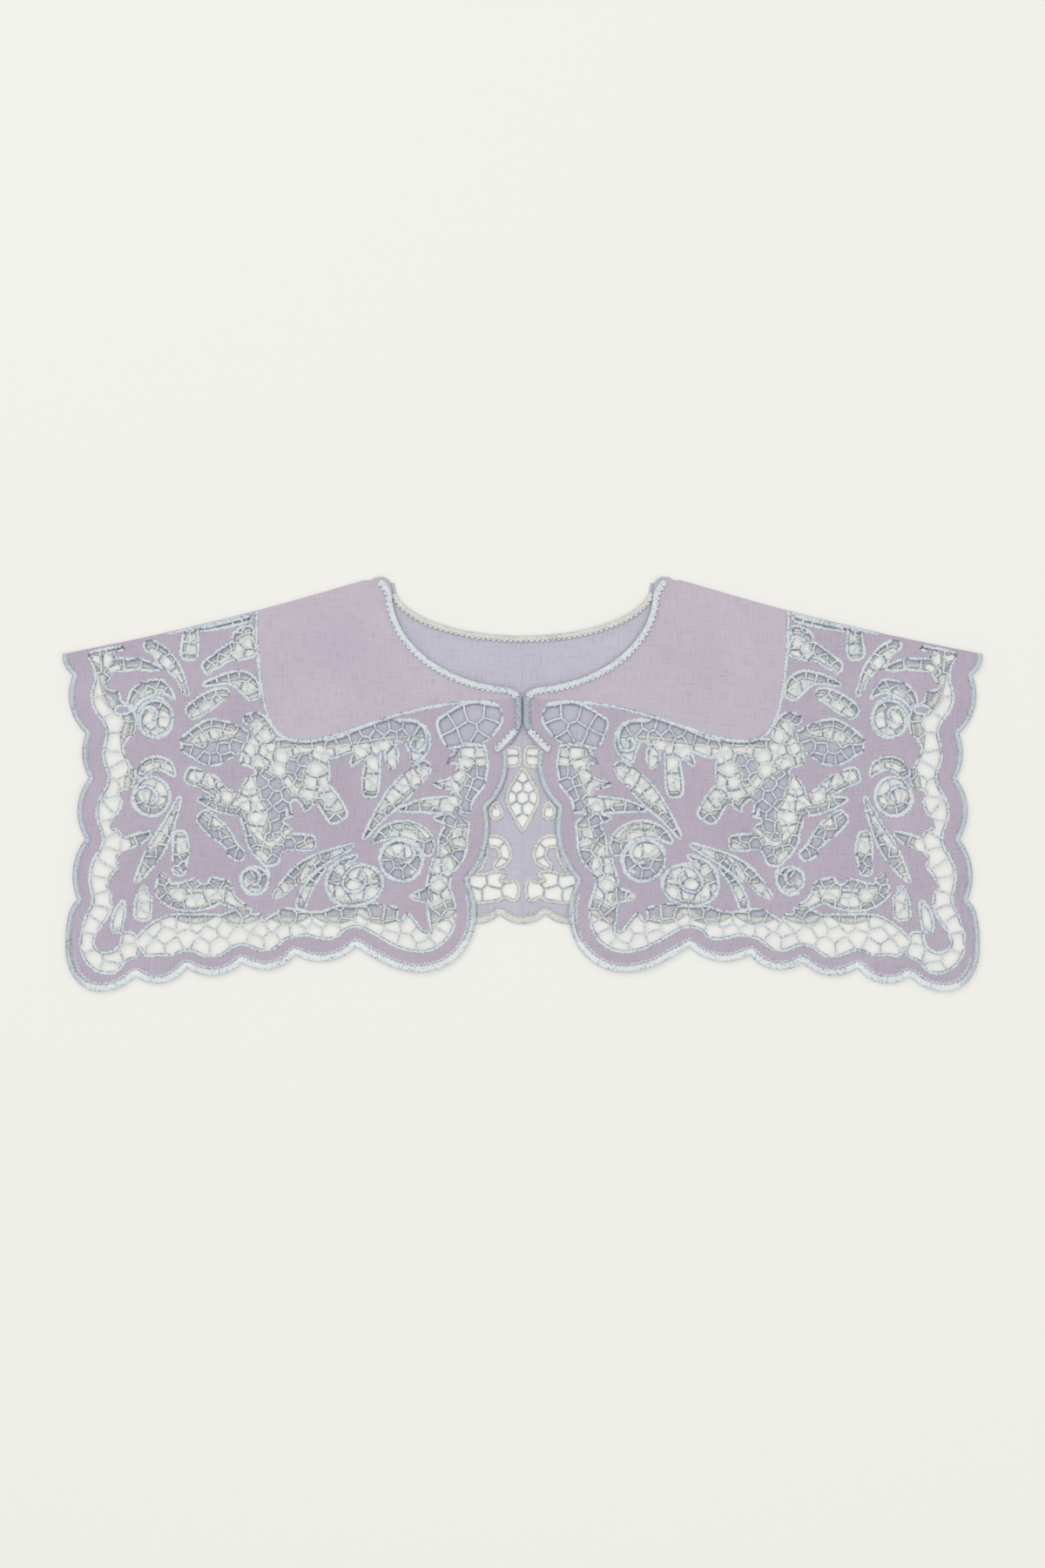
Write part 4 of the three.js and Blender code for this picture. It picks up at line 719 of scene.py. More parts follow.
def front_outline():
    outer, hem, inner = front_hem()
    return [
        *fold_line(ROLL_LENGTH - FOLD_IN, FOLD_STEPS), *front_side(), *outer[1:], *hem[1:], *inner[1:],
        *front_centre()[1:], *front_neck(),
    ]


def front_inner_edge():
    """The line along which a front's open ground starts."""
    outer, hem, inner = front_hem()
    fold, side, centre = fold_line(0), front_side(), front_centre()
    return inner_edge([
        ("shoulder", [*fold, side[0]]), ("side", side), ("side", outer), ("hem", hem), ("inner", inner),
        ("centre", centre), ("neck", [centre[-1], *front_neck(), fold[0]]),
    ])


def back_edge():
    """The back's hem and side, from the middle of the hem out and up."""
    first, pitch, count, y, rise = BACK_HEM
    scallops = [(first + (k + 1) * pitch, y, rise) for k in range(count)]
    return scalloped((first, y), [*scallops, *BACK_SIDE], -1)


def back_outline():
    first, _, _, y, rise = BACK_HEM
    right = [
        *neck_curve(BACK_NECK, *BACK_NECK_ARC), BACK_NECK_CORNER,
        *fold_line(-FOLD_IN), *reversed(back_edge()),
    ]
    middle = arc_to((first, y), (-first, y), rise)[:-1]
    return [*right, *middle, *mirrored(right)[:-1]]


# ---- how the cloth lies ----
# [waves across, waves up, phase], in radians per mm
RIPPLES = ((0.055, 0.031, 0.4), (0.034, -0.062, 1.9), (0.083, 0.047, 4.1))


def ripple(u, y, high):
    """A low, even-handed unevenness of cloth that has been laid down by hand, never below the table."""
    total = sum(math.cos(a * abs(u)) * math.cos(b * y + phase) for a, b, phase in RIPPLES)
    return high * (0.5 + total / 6)


class Layer:
    """Lays chart points down in metres, at a height; the fronts go round the roll at the shoulder."""

    def __init__(self, middle, ripple_high, rolled):
        self.middle, self.ripple_high, self.rolled = middle, ripple_high, rolled

    def __call__(self, u, y, off):
        lift = ripple(u, y, self.ripple_high)
        beyond, along = fold_distance(abs(u), y) if self.rolled else (-1, 0)
        if beyond <= 0:
            return Vector((u, y, self.middle + off + lift)) * MM
        radius = self.middle - ROLL_MIDDLE + off
        angle = min(beyond / ROLL_RADIUS, math.pi)
        reach = radius * math.sin(angle) - FOLD_IN - dip(along)
        return Vector((
            SHOULDER_NECK[0] + ALONG[0] * along + OUT[0] * reach,
            SHOULDER_NECK[1] + ALONG[1] * along + OUT[1] * reach,
            ROLL_MIDDLE + radius * math.cos(angle) + lift,
        )) * MM


# ---- making pieces ----
SHARP = 1.0  # angle between faces, in radians, above which their edge stays sharp


def finished(name, bm, materials, merge=1e-6):
    """A mesh object from a bmesh in metres, with doubles merged and sharp rims kept sharp."""
    bmesh.ops.remove_doubles(bm, verts=bm.verts[:], dist=merge)
    bmesh.ops.recalc_face_normals(bm, faces=bm.faces[:])
    for face in bm.faces:
        face.smooth = True
    for edge in bm.edges:
        if len(edge.link_faces) == 2 and edge.calc_face_angle(0) > SHARP:
            edge.smooth = False
    mesh = bpy.data.meshes.new(name)
    bm.to_mesh(mesh)
    bm.free()
    for material in materials:
        mesh.materials.append(material)
    made = bpy.data.objects.new(name, mesh)
    bpy.context.scene.collection.objects.link(made)
    return made


def other_hand(bm):
    """A copy of a bmesh, mirrored to the other side of the centre line."""
    copy = bm.copy()
    bmesh.ops.scale(copy, vec=(-1, 1, 1), verts=copy.verts[:])
    bmesh.ops.reverse_faces(copy, faces=copy.faces[:])
    return copy


CORD_UNEVEN = 0.14  # of its width


def cord(bm, lay, path, wide, high, around=8, closed=False, off=0.0, taper=1.0, finish=0):
    """A flat cord of thread along a path: a grid bent round it. Its UV is [turn round it, mm along it]."""
    stations = [*path, path[0]] if closed else path
    normals = normals_of(path, closed)
    if closed:
        normals = [*normals, normals[0]]
    sums = sums_of(stations)
    total = sums[-1]
    uv = bm.loops.layers.uv.verify()
    rows = len(stations) - 1
    made = bmesh.ops.create_grid(bm, x_segments=around, y_segments=rows, size=1, calc_uvs=True)["verts"]
    for vert in made:
        turn = math.pi * (vert.co.x + 1)
        i = round((vert.co.y + 1) / 2 * rows)
        x, y = stations[i][0], stations[i][1]
        nx, ny = normals[i]
        size = 1.0
        if not closed:
            near = min(sums[i], total - sums[i]) / (taper * wide / 2)
            if near < 1:
                size = math.sqrt(max(0.0, 1 - (1 - near) ** 2))
        side = math.sin(turn) * wide / 2 * size * (1 + CORD_UNEVEN * wobble(i, 3))
        lift = -math.cos(turn) * high / 2 * size
        vert.co = lay(x + nx * side, y + ny * side, off + lift)
    faces = {face for vert in made for face in vert.link_faces}
    for face in faces:
        face.material_index = finish
        for loop in face.loops:
            loop[uv].uv.y *= total
    return bm


ROLL_ROWS = (0, 0.2, 0.4, 0.6, 0.8)  # rows of corners round the roll, as shares of it
CLEAR_OF_ROLL = 1  # how far loose corners keep from it
TOUCHING = 1e-3  # corners this near are one


def cut_cloth(outline, ground, rolled, pitch=6.0):
    """Cloth cut to the outline, less the open ground."""
    points, edges = [], []
    for loop in (outline, *[region.polygon for region in (ground.field, *ground.opens, *ground.plates)]):
        first, count = len(points), len(loop)
        points += [Vector((p[0], p[1])) for p in loop]
        edges += [(first + i, first + (i + 1) % count) for i in range(count)]
    whole = Region(outline)
    columns = range(int(whole.low[0] // pitch), int(whole.high[0] // pitch) + 2)
    rows = range(int(whole.low[1] // pitch), int(whole.high[1] // pitch) + 2)
    for i in columns:
        for j in rows:
            spot = ((i + 0.5 * (j % 2)) * pitch, j * pitch)
            if whole.holds(spot) and fold_distance(abs(spot[0]), spot[1])[0] < -CLEAR_OF_ROLL:
                points.append(Vector(spot))
    if rolled:
        for turn in ROLL_ROWS:
            first = len(points)
            row = fold_line(turn * ROLL_LENGTH - FOLD_IN, FOLD_STEPS)[1:-1]
            points += [Vector(spot) for spot in row]
            edges += [(i, i + 1) for i in range(first, len(points) - 1)]
    corners, _, faces, *_ = delaunay_2d_cdt(points, edges, [], 0, TOUCHING)
    bm = bmesh.new()
    verts = {}
    for face in faces:
        middle = [sum(corners[i][k] for i in face) / len(face) for k in (0, 1)]
        if not whole.holds(middle) or ground.holds(middle):
            continue
        for i in face:
            if i not in verts:
                verts[i] = bm.verts.new((corners[i][0], corners[i][1], 0))
        bm.faces.new([verts[i] for i in face])
    bm.normal_update()
    return bm


def thickened(bm, thick, lay, plain=None):
    """Gives flat cloth its thickness and lays it down. Faces in the plain region take the second material."""
    for face in bm.faces:
        if face.normal.z < 0:
            face.normal_flip()
        if plain and plain.holds(face.calc_center_median()):
            face.material_index = 1
    bmesh.ops.solidify(bm, geom=bm.faces[:], thickness=thick)
    tops = [v.co.z for v in bm.verts]
    middle = (max(tops) + min(tops)) / 2
    for vert in bm.verts:
        vert.co = lay(vert.co.x, vert.co.y, vert.co.z - middle)
    return bm


def flat_area(bm):
    return sum(face.calc_area() for face in bm.faces) * MM * MM


# ---- finishes ----
def linear(red, green, blue):
    """A colour given as it looks on a screen, 0 to 255, as light."""
    shares = [c / 255 for c in (red, green, blue)]
    return tuple(c / 12.92 if c <= 0.04 else ((c + 0.055) / 1.055) ** 2.4 for c in shares) + (1,)


def shades(colour, share):
    """A screen colour, scaled."""
    return [c * share for c in colour]


def mingled(a, b, share):
    """A screen colour part of the way from one to another."""
    return [between(c, d, share) for c, d in zip(a, b)]


class Value:
    """A node's number output that Python expressions can work on."""

    def __init__(self, tree, socket):
        self.tree, self.socket = tree, socket

    def maths(self, operation, *others):
        node = self.tree.nodes.new("ShaderNodeMath")
        node.operation = operation
        for socket, value in zip(node.inputs, others):
            if isinstance(value, Value):
                self.tree.links.new(value.socket, socket)
            else:
                socket.default_value = value
        return Value(self.tree, node.outputs[0])

    def __add__(self, other):
        return self.maths("ADD", self, other)

    def __sub__(self, other):
        return self.maths("SUBTRACT", self, other)

    def __rsub__(self, other):
        return self.maths("SUBTRACT", other, self)

    def __mul__(self, other):
        return self.maths("MULTIPLY", self, other)

    def sine(self):
        return self.maths("SINE", self)

    def size(self):
        return self.maths("ABSOLUTE", self)

    def clamped(self):
        return self.maths("MAXIMUM", self.maths("MINIMUM", self, 1.0), 0.0)


class Finish:
    """A material under way: its node tree, and one method that adds any node."""

    def __init__(self, name):
        self.material = bpy.data.materials.new(name)
        self.material.use_nodes = True
        self.tree = self.material.node_tree
        self.tree.nodes.clear()
        self.output = self.tree.nodes.new("ShaderNodeOutputMaterial")

    def node(self, kind, settings=None, inputs=None, ramp=None):
        node = self.tree.nodes.new("ShaderNode" + kind)
        for key, value in (settings or {}).items():
            setattr(node, key, value)
        if ramp:
            while len(node.color_ramp.elements) < len(ramp):
                node.color_ramp.elements.new(0.5)
            for element, (place, colour) in zip(node.color_ramp.elements, ramp):
                element.position, element.color = place, colour
        for key, value in (inputs or {}).items():
            socket = node.inputs[key]
            if isinstance(value, Value):
                self.tree.links.new(value.socket, socket)
            elif isinstance(value, bpy.types.NodeSocket):
                self.tree.links.new(value, socket)
            else:
                socket.default_value = value
        return node

    def value(self, socket):
        return Value(self.tree, socket)

    def axes(self, socket):
        parts = self.node("SeparateXYZ", inputs={0: socket})
        return [self.value(parts.outputs[k]) for k in range(3)]

    def vector(self, x, y, z=0.0):
        return self.node("CombineXYZ", inputs={0: x, 1: y, 2: z}).outputs[0]

    def noise(self, vector, scale, detail=2.0, roughness=0.5):
        made = self.node("TexNoise", inputs={
            "Vector": vector, "Scale": scale, "Detail": detail, "Roughness": roughness})
        return self.value(made.outputs[0])

    def mixed(self, factor, a, b):
        made = self.node("Mix", {"data_type": "RGBA", "clamp_factor": True}, {"Factor": factor, 6: a, 7: b})
        return made.outputs[2]

    def bump(self, height, strength, distance):
        made = self.node("Bump", inputs={"Height": height, "Strength": strength, "Distance": distance})
        return made.outputs[0]

    def surface(self, colour, roughness, normal, sheen=0.0):
        shader = self.node("BsdfPrincipled", inputs={
            "Base Color": colour, "Roughness": roughness, "Normal": normal, "Specular IOR Level": 0.25,
            "Sheen Weight": sheen, "Sheen Roughness": 0.5})
        self.tree.links.new(shader.outputs[0], self.output.inputs[0])
        return self.material


CREASE_HALF = 1.4 * MM  # width of the crease, to either side


GAP_SHADE = 0.76  # painted shade between the threads of the weave, as a share of the deep tint


def linen_finish(name, plain, deep, pitch, crease=0.0):
    """Plain-weave linen: crossed threads with slubs, a drift between two tints, painted shade between the
    threads, and a crease down the middle with painted shade along it.
    """
    finish = Finish(name)
    place = finish.node("TexCoord").outputs["Object"]
    x, y, _ = finish.axes(place)
    drift = finish.noise(place, 180.0, 2.0) - 0.5
    turn = math.pi / pitch
    across = (x * turn + drift * 2.2).sine()
    up = (y * turn + drift * 2.0).sine()
    over = ((across * up) * 3.0 + 0.5).clamped()
    threads = up.size() * over + across.size() * (1 - over)
    warp = finish.noise(finish.vector(x * 1400.0, y * 90.0), 1.0, 3.0, 0.6)
    weft = finish.noise(finish.vector(x * 90.0, y * 1400.0), 1.0, 3.0, 0.6)
    slubs = warp + weft - 1.0
    mottle = finish.noise(place, 22.0, 3.0, 0.6)
    grain = finish.noise(place, 900.0, 2.0, 0.7)
    tint = ((mottle - 0.5) * 1.6 + 0.5 + (grain - 0.5) * 0.5).clamped()
    colour = finish.mixed(tint, linear(*plain), linear(*deep))
    # the crease: a dent in the bump, and painted shade along it
    fold = (1 - x.size() * (1 / CREASE_HALF)).clamped()
    # the threads keep the tint, while the gaps between them and the crease take painted shade
    dark = (threads * 0.2 + slubs * 1.3 + 0.86 - fold * crease).clamped()
    shaded = finish.mixed(1 - dark, colour, linear(*shades(deep, GAP_SHADE)))
    height = threads + slubs * 0.8 - fold * crease * 4
    return finish.surface(shaded, 0.9, finish.bump(height, 0.55, 0.12 * MM), 0.25)


def thread_finish(name, light, shade, pitch=0.42, edge=1.0, speckle=4.2, paler=0.0):
    """Satin stitch: fine threads laid across the cord, with a painted highlight along its crown and on the
    ridge of each stitch, and sides darkened partly by painted shade and partly by the thread's own darker
    underlay.
    """
    finish = Finish(name)
    turn, along, _ = finish.axes(finish.node("UVMap").outputs[0])
    place = finish.node("TexCoord").outputs["Object"]
    jitter = finish.noise(place, 800.0, 3.0, 0.75)
    slant = (turn - 0.5).size()
    stitch = (along * (math.tau / pitch) + slant * 3.0 + jitter * 3.0).sine()
    # painted highlight along the crown; towards the sides the colour falls to the shade colour, partly
    # painted shade and partly the darker underlay
    crown = (1 - slant * 4.0 * edge).clamped()
    patch = finish.noise(place, 90.0, 2.0, 0.5)
    # each stitch's ridge gets a little painted highlight
    shine = crown * 1.1 + stitch * 0.15 + (paler - 0.2)
    light_part = (shine + (jitter - 0.5) * speckle + (patch - 0.5) * 1.2).clamped()
    colour = finish.mixed(light_part, linear(*shade), linear(*light))
    height = stitch * 0.5 + jitter
    return finish.surface(colour, 0.6, finish.bump(height, 0.6, 0.2 * MM), 0.2)


TABLE = (240, 239, 234)
TABLE_LIT, TABLE_GLOW = 0.45, 0.5  # shares of the table's colour: taken from the lamps, and given out


def floor_finish():
    """A pale table that glows a little, so that the ground seen through the cutwork stays bright."""
    finish = Finish("pale table")
    lit = tuple(c * TABLE_LIT for c in linear(*TABLE)[:3]) + (1,)
    shader = finish.node("BsdfDiffuse", inputs={"Color": lit})
    glow = finish.node("Emission", inputs={"Color": linear(*TABLE), "Strength": TABLE_GLOW})
    both = finish.node("AddShader", inputs={0: shader.outputs[0], 1: glow.outputs[0]})
    finish.tree.links.new(both.outputs[0], finish.output.inputs[0])
    return finish.material


def colour_prop(name, description, rgb):
    return bpy.props.FloatVectorProperty(
        name=name, description=description, subtype="COLOR", size=3, min=0, max=1, default=linear(*rgb)[:3])


def length_prop(name, description, mm, low=0.1, high=10.0):
    return bpy.props.FloatProperty(
        name=name, description=description, default=mm * MM, min=low * MM, max=high * MM,
        unit="LENGTH", precision=5)


class CollarSizes(bpy.types.PropertyGroup):
    """Sizes of the cloth, cords and trim."""

    ripple: length_prop("Ripple", "How high the laid cloth rises and falls", 1.6, 0.0)
    cloth: length_prop("Cloth", "Thickness of the linen", 0.5)
    weave: length_prop("Weave", "Distance between threads of the linen", 0.6)
    cord: length_prop("Cord", "Width of the satin cord round the open ground", 2.4)
    cord_high: length_prop("Cord height", "Height of the satin cord", 1.1)
    bar: length_prop("Bar", "Width of the thread bars", 1.4)
    side: length_prop("Side edging", "Width of the edging down the side and centre", 2.9)
    hem: length_prop("Hem edging", "Width of the edging round the hem", 4.2)
    trim: length_prop("Neck trim", "Width of the flat part of the neck trim", 2.5)


class CollarColours(bpy.types.PropertyGroup):
    """Colours of the linen and threads."""

    linen: colour_prop("Linen", "Face of the linen on the yoke", (190, 183, 193))
    linen_deep: colour_prop("Deep linen", "Face of the linen between the cords", (183, 172, 186))
    inside: colour_prop("Linen inside", "Wrong side of the linen", (191, 189, 202))
    # thread is the crown with its painted highlight; thread_shade is painted shade on the sides, together
    # with the thread's darker underlay
    thread: colour_prop("Thread", "Crown of the satin stitch", (214, 221, 222))
    thread_shade: colour_prop("Thread shade", "Sides of the satin stitch", (132, 144, 162))
    inner_thread: colour_prop("Inner thread", "Thread on the wrong side", (214, 214, 208))
    inner_bar: colour_prop("Inner bars", "Bars on the wrong side", (190, 198, 201))
    # inner_shade is painted shade on the sides of the wrong side's thread, together with its darker underlay
    inner_shade: colour_prop("Inner thread shade", "Sides of the thread on the wrong side", (162, 164, 168))


def net_pitch(spot):
    """The pitch of a front's net: wider along the free edges."""
    if spot[0] > SIDE_NET_FROM:
        return SIDE_NET_PITCH
    near_edge = spot[1] < HEM_NET_BELOW or (spot[0] < FAN_NET_WITHIN and spot[1] > FAN_NET_ABOVE)
    return EDGE_NET_PITCH if near_edge else NET_PITCH


class Chart:
    """The cutwork of a panel: its ground, the rims of its cloth, its single cords and its bars."""

    def __init__(self, field, opens, plates, stems, middles_in):
        self.rims = Ground(field, opens, plates).rims(1.1)
        self.stems = stems
        under = [ribbon([[*p[:2], STEM_WIDE] for p in stem]) for stem in stems]
        self.ground = Ground(field, opens, [*plates, *under])
        self.bars = net_bars(self.ground, middles_in(self.ground.samples(SAMPLE_PITCH)))


def oval(u, y, across, up):
    """An ellipse, given its middle and half sizes."""
    steps = round(math.tau * max(across, up) / CURVE_STEP)
    return [(u + across * math.cos(math.tau * k / steps), y + up * math.sin(math.tau * k / steps))
            for k in range(steps)]


def front_openings():
    return [*[ribbon(spine_of(rows), CORD_HALF) for _, rows in FRONT_VOIDS],
            *[oval(*sizes) for _, *sizes in FRONT_SCROLLS]]


def front_leaves():
    return [[*YOKE_LINE, *YOKE_REST], *[ribbon(spine_of(rows), CORD_HALF) for _, rows in FRONT_LINEN]]


def front_cutwork():
    stems = [spine_of([(*p, 0) for p in points]) for _, points in FRONT_STEMS]
    return Chart(front_inner_edge(), front_openings(), front_leaves(), stems,
                 lambda spots: cell_middles(spots, net_pitch))


def on_back(shape):
    """Where a shape of the fronts' pattern comes on the back."""
    narrower, shorter, first, own = BACK_REPEAT
    return [(p[0] * narrower, own + (p[1] - first) * (shorter if p[1] < first else 1)) for p in shape]


def pairs(shapes):
    return [*shapes, *[mirrored(shape) for shape in shapes]]


def back_inner_edge():
    """The line along which the back's open ground may start."""
    first, _, _, y, rise = BACK_HEM
    edge = list(reversed(back_edge()))
    turn = next(i for i, p in enumerate(edge) if p[1] < BACK_SIDE_FOOT)
    top = [*neck_curve(BACK_NECK, *BACK_NECK_ARC), *fold_line(0), edge[0]]
    side, hem = edge[:turn + 1], edge[turn:]
    middle = arc_to((first, y), (-first, y), rise)
    return inner_edge([
        ("fold", top), ("back side", side), ("back hem", [*hem, *middle, *mirrored(hem)]),
        ("back side", mirrored(side)), ("fold", mirrored(top)),
    ])


def back_cutwork():
    own = [ribbon(spine_of(rows)) for _, rows in BACK_VOIDS]
    repeated = [on_back(shape) for shape in front_openings()]
    repeated = [shape for shape in repeated if min(p[0] for p in shape) > BACK_FIELD_FROM]
    leaves = [ribbon(spine_of(rows)) for _, rows in BACK_LEAVES]
    leaves += [on_back(shape) for shape in front_leaves()[1:] if min(p[0] for p in shape) > BACK_FIELD_FROM]
    medallion = ribbon(spine_of(MEDALLION))

    def middles_in(spots):
        flower = Region(medallion)
        spots = [p for p in spots if p[0] > 0 and not flower.holds(p)]
        side = cell_middles(spots, lambda spot: EDGE_NET_PITCH)
        radius, cells = MEDALLION_RING
        turns = [math.tau * k / cells for k in range(cells)]
        ring = [(radius * math.cos(a), MEDALLION_MIDDLES[0] + radius * math.sin(a)) for a in turns]
        return [*side, *mirrored(side), *[(0, y) for y in MEDALLION_MIDDLES], *ring]

    return Chart(back_inner_edge(), pairs([*own, *repeated]) + [medallion], pairs(leaves), [], middles_in)


STEM_CORD = 1.15  # width of a single cord, as a share of the others'
BAR_BOW = 0.16  # how far a bar may bend, as a share of its length
BAR_REACH = 0.9  # how far it runs in under the cords
BAR_STEP = 1.6


def satin_work(bm, lay, chart, sizes):
    """Cords round the cloth and on the stems, into a bmesh, and the bars between them as another."""
    wide, high, bar = sizes.cord / MM, sizes.cord_high / MM, sizes.bar / MM
    for run, closed in chart.rims:
        cord(bm, lay, eased(run, 2, closed), wide, high, 8, closed)
    for stem in chart.stems:
        cord(bm, lay, paced([p[:2] for p in stem], 1.3), wide * STEM_CORD, high, 8)
    bars = bmesh.new()
    for k, (a, b) in enumerate(chart.bars):
        long = far(a, b) or 1
        bow = wobble(k, round(a[0])) * BAR_BOW * long
        reach = BAR_REACH / long
        path = []
        steps = max(3, round(long / BAR_STEP))
        for i in range(steps + 1):
            t = between(-reach, 1 + reach, i / steps)
            off = bow * 4 * t * (1 - t) if 0 < t < 1 else 0
            path.append([between(a[0], b[0], t) - (b[1] - a[1]) / long * off,
                         between(a[1], b[1], t) + (b[0] - a[0]) / long * off])
        uneven = bar * (1 + 0.2 * wobble(k, 5))
        cord(bars, lay, path, uneven, bar * 0.8, 6, off=0.1 * wobble(k, 2), taper=0.5)
    return bars


def zigzag(path, high, pitch):
    """A path that goes to and fro across another."""
    sums, normals = sums_of(path), normals_of(path)
    return [
        [p[0] + nx * high * math.cos(math.tau * s / pitch), p[1] + ny * high * math.cos(math.tau * s / pitch)]
        for p, (nx, ny), s in zip(path, normals, sums)
    ]


def moved_in(path, by):
    """A path moved to its right, where the cloth is."""
    return [[x - nx * by, y - ny * by] for (x, y), (nx, ny) in zip([p[:2] for p in path], normals_of(path))]


EDGING_STEP, TEETH_STEP = 0.9, 0.45
LIP = 0.9  # width of the cord on an edging's outer side


def edging(bm, lay, edge, wide, high, thread, tooth, pitch, finish=1, taper=0.4):
    """Satin edging on a free edge with the cloth on its right, and a to-and-fro thread inside it."""
    edge = paced(edge, EDGING_STEP)
    cord(bm, lay, moved_in(edge, wide / 2), wide, high * 0.8, 10, taper=taper, finish=finish)
    cord(bm, lay, moved_in(edge, LIP / 2), LIP, high, 6, off=0.1, taper=0.4, finish=finish)
    inner = paced(moved_in(edge, wide + tooth * 0.3), TEETH_STEP)
    cord(bm, lay, zigzag(inner, tooth / 2, pitch), thread, high * 0.75, 6, off=0.25, finish=finish)


def both_hands(name, bm, materials, node=None):
    """The right-hand piece and its mirror image, each riding on the frame."""
    halves = {side: bm if sign > 0 else other_hand(bm) for side, sign in SIDES}
    made = {side: finished(name + "_" + side, half, materials) for side, half in halves.items()}
    for side, piece in made.items():
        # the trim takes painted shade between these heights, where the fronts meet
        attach(piece, "root")
        if node:
            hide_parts(node + "_" + side)
    return made


def colours_of(*names):
    """Screen colours, 0 to 255, from the panel's settings."""
    held = bpy.context.scene.collar_colours
    screen = []
    for name in names:
        light = getattr(held, name)
        shares = [12.92 * c if c <= 0.0031308 else 1.055 * c ** (1 / 2.4) - 0.055 for c in light]
        screen.append(tuple(255 * share for share in shares))
    return screen


class COLLAR_OT_fronts(bpy.types.Operator):
    """Make the two front panels: linen, satin stitch, bars and edging"""

    bl_idname = "collar.fronts"
    bl_label = "Fronts"
    bl_options = {"REGISTER", "UNDO"}

    def execute(self, context):
        sizes = context.scene.collar_sizes
        lay = Layer(FRONT_MIDDLE, sizes.ripple / MM, True)
        chart = front_cutwork()
        outline = front_outline()
        bm = cut_cloth(outline, chart.ground, True)
        area = flat_area(bm)
        yoke = Region([*YOKE_LINE, *YOKE_REST])
        thickened(bm, sizes.cloth / MM, lay, yoke)
        plain, deep = colours_of("linen", "linen_deep")
        worked = linen_finish("linen, worked", deep, shades(deep, 0.93), sizes.weave)
        smooth = linen_finish("linen, plain", plain, deep, sizes.weave)
        linen = both_hands("linen_front", bm, [worked, smooth], "front")
        light, shade = colours_of("thread", "thread_shade")
        thread = thread_finish("satin stitch", light, shade, paler=0.15)
        net = thread_finish("thread bars", light, shade, paler=0.3)
        slate = mingled(light, shade, 0.25)
        bright = mingled(light, (255, 255, 255), 0.15)
        border = thread_finish("satin edging", bright, shade, pitch=0.5, edge=0.6, speckle=5.6, paler=0.4)
        side_border = thread_finish(
            "satin edging, side", slate, shade, pitch=0.5, edge=0.6, speckle=5.6, paler=0.3)
        satin = bmesh.new()
        bars = satin_work(satin, lay, chart, sizes)
        high = sizes.cord_high / MM
        outer, hem, inner = front_hem()
        wide_from, narrow_to = [next(i for i, p in enumerate(outer) if p[1] < y) for y in OUTER_TURNS]
        narrow_from, wide_to = [
            next(i for i, p in enumerate(inner) if p[1] > y and p[0] < INNER_SIDE) for y in INNER_TURNS]
        narrow = {
            "wide": sizes.side / MM, "high": high, "thread": 0.7, "tooth": 0.9, "pitch": 1.7, "finish": 2}
        whole_hem = [*outer[wide_from:], *hem[1:], *inner[1:wide_to]]
        edging(satin, lay, [*front_side(), *outer[1:narrow_to]], **narrow)
        edging(satin, lay, whole_hem, sizes.hem / MM, high, thread=0.8, tooth=1.5, pitch=2.4, taper=14)
        edging(satin, lay, [*inner[narrow_from:], *front_centre()[1:]], **narrow)
        work = both_hands("satin_front", satin, [thread, border, side_border])
        nets = both_hands("bars_front", bars, [net])
        low, top = Region(outline).low, Region(outline).high
        for side, piece in linen.items():
            (top[0] - low[0]) * MM
            (top[1] - low[1]) * MM
        return {"FINISHED"}


class COLLAR_OT_back(bpy.types.Operator):
    """Make the back panel, wrong side up: linen, satin stitch, bars and edging"""

    bl_idname = "collar.back"
    bl_label = "Back"
    bl_options = {"REGISTER", "UNDO"}

    def execute(self, context):
        sizes = context.scene.collar_sizes
        lay = Layer(BACK_MIDDLE, sizes.ripple / MM, False)
        chart = back_cutwork()
        outline = back_outline()
        bm = cut_cloth(outline, chart.ground, False)
        area = flat_area(bm)
        thickened(bm, sizes.cloth / MM, lay)
        inside, = colours_of("inside")
        # the crease down the middle carries painted shade as well as its dent
        cloth = linen_finish("linen, inside", inside, shades(inside, 0.94), sizes.weave, crease=0.16)
        linen = finished("linen_back", bm, [cloth])
        light, shade = colours_of("inner_thread", "inner_shade")
        thread = thread_finish("satin stitch, inside", light, shade, paler=0.2)
        border = thread_finish(
            "satin edging, inside", light, shade, pitch=0.5, edge=0.6, speckle=3.6, paler=0.15)
        slate = thread_finish("bars, inside", *colours_of("inner_bar", "thread_shade"))
        satin = bmesh.new()
        bars = satin_work(satin, lay, chart, sizes)
        high = sizes.cord_high / MM
        first, _, _, y, rise = BACK_HEM
        edge = [*mirrored(back_edge()), *arc_to((-first, y), (first, y), -rise)[:-1], *back_edge()]
        edging(satin, lay, list(reversed(edge)), sizes.hem / MM, high, thread=0.8, tooth=1.1, pitch=2.6)
        pieces = [finished("satin_back", satin, [thread, border]), finished("bars_back", bars, [slate])]
        for piece in (linen, *pieces):
            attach(piece, "root")
        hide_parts("back")
        low, top = Region(outline).low, Region(outline).high
        (top[0] - low[0]) * MM
        (top[1] - low[1]) * MM
        return {"FINISHED"}


PICOT_HIGH, PICOT_PITCH = 0.75, 3.1


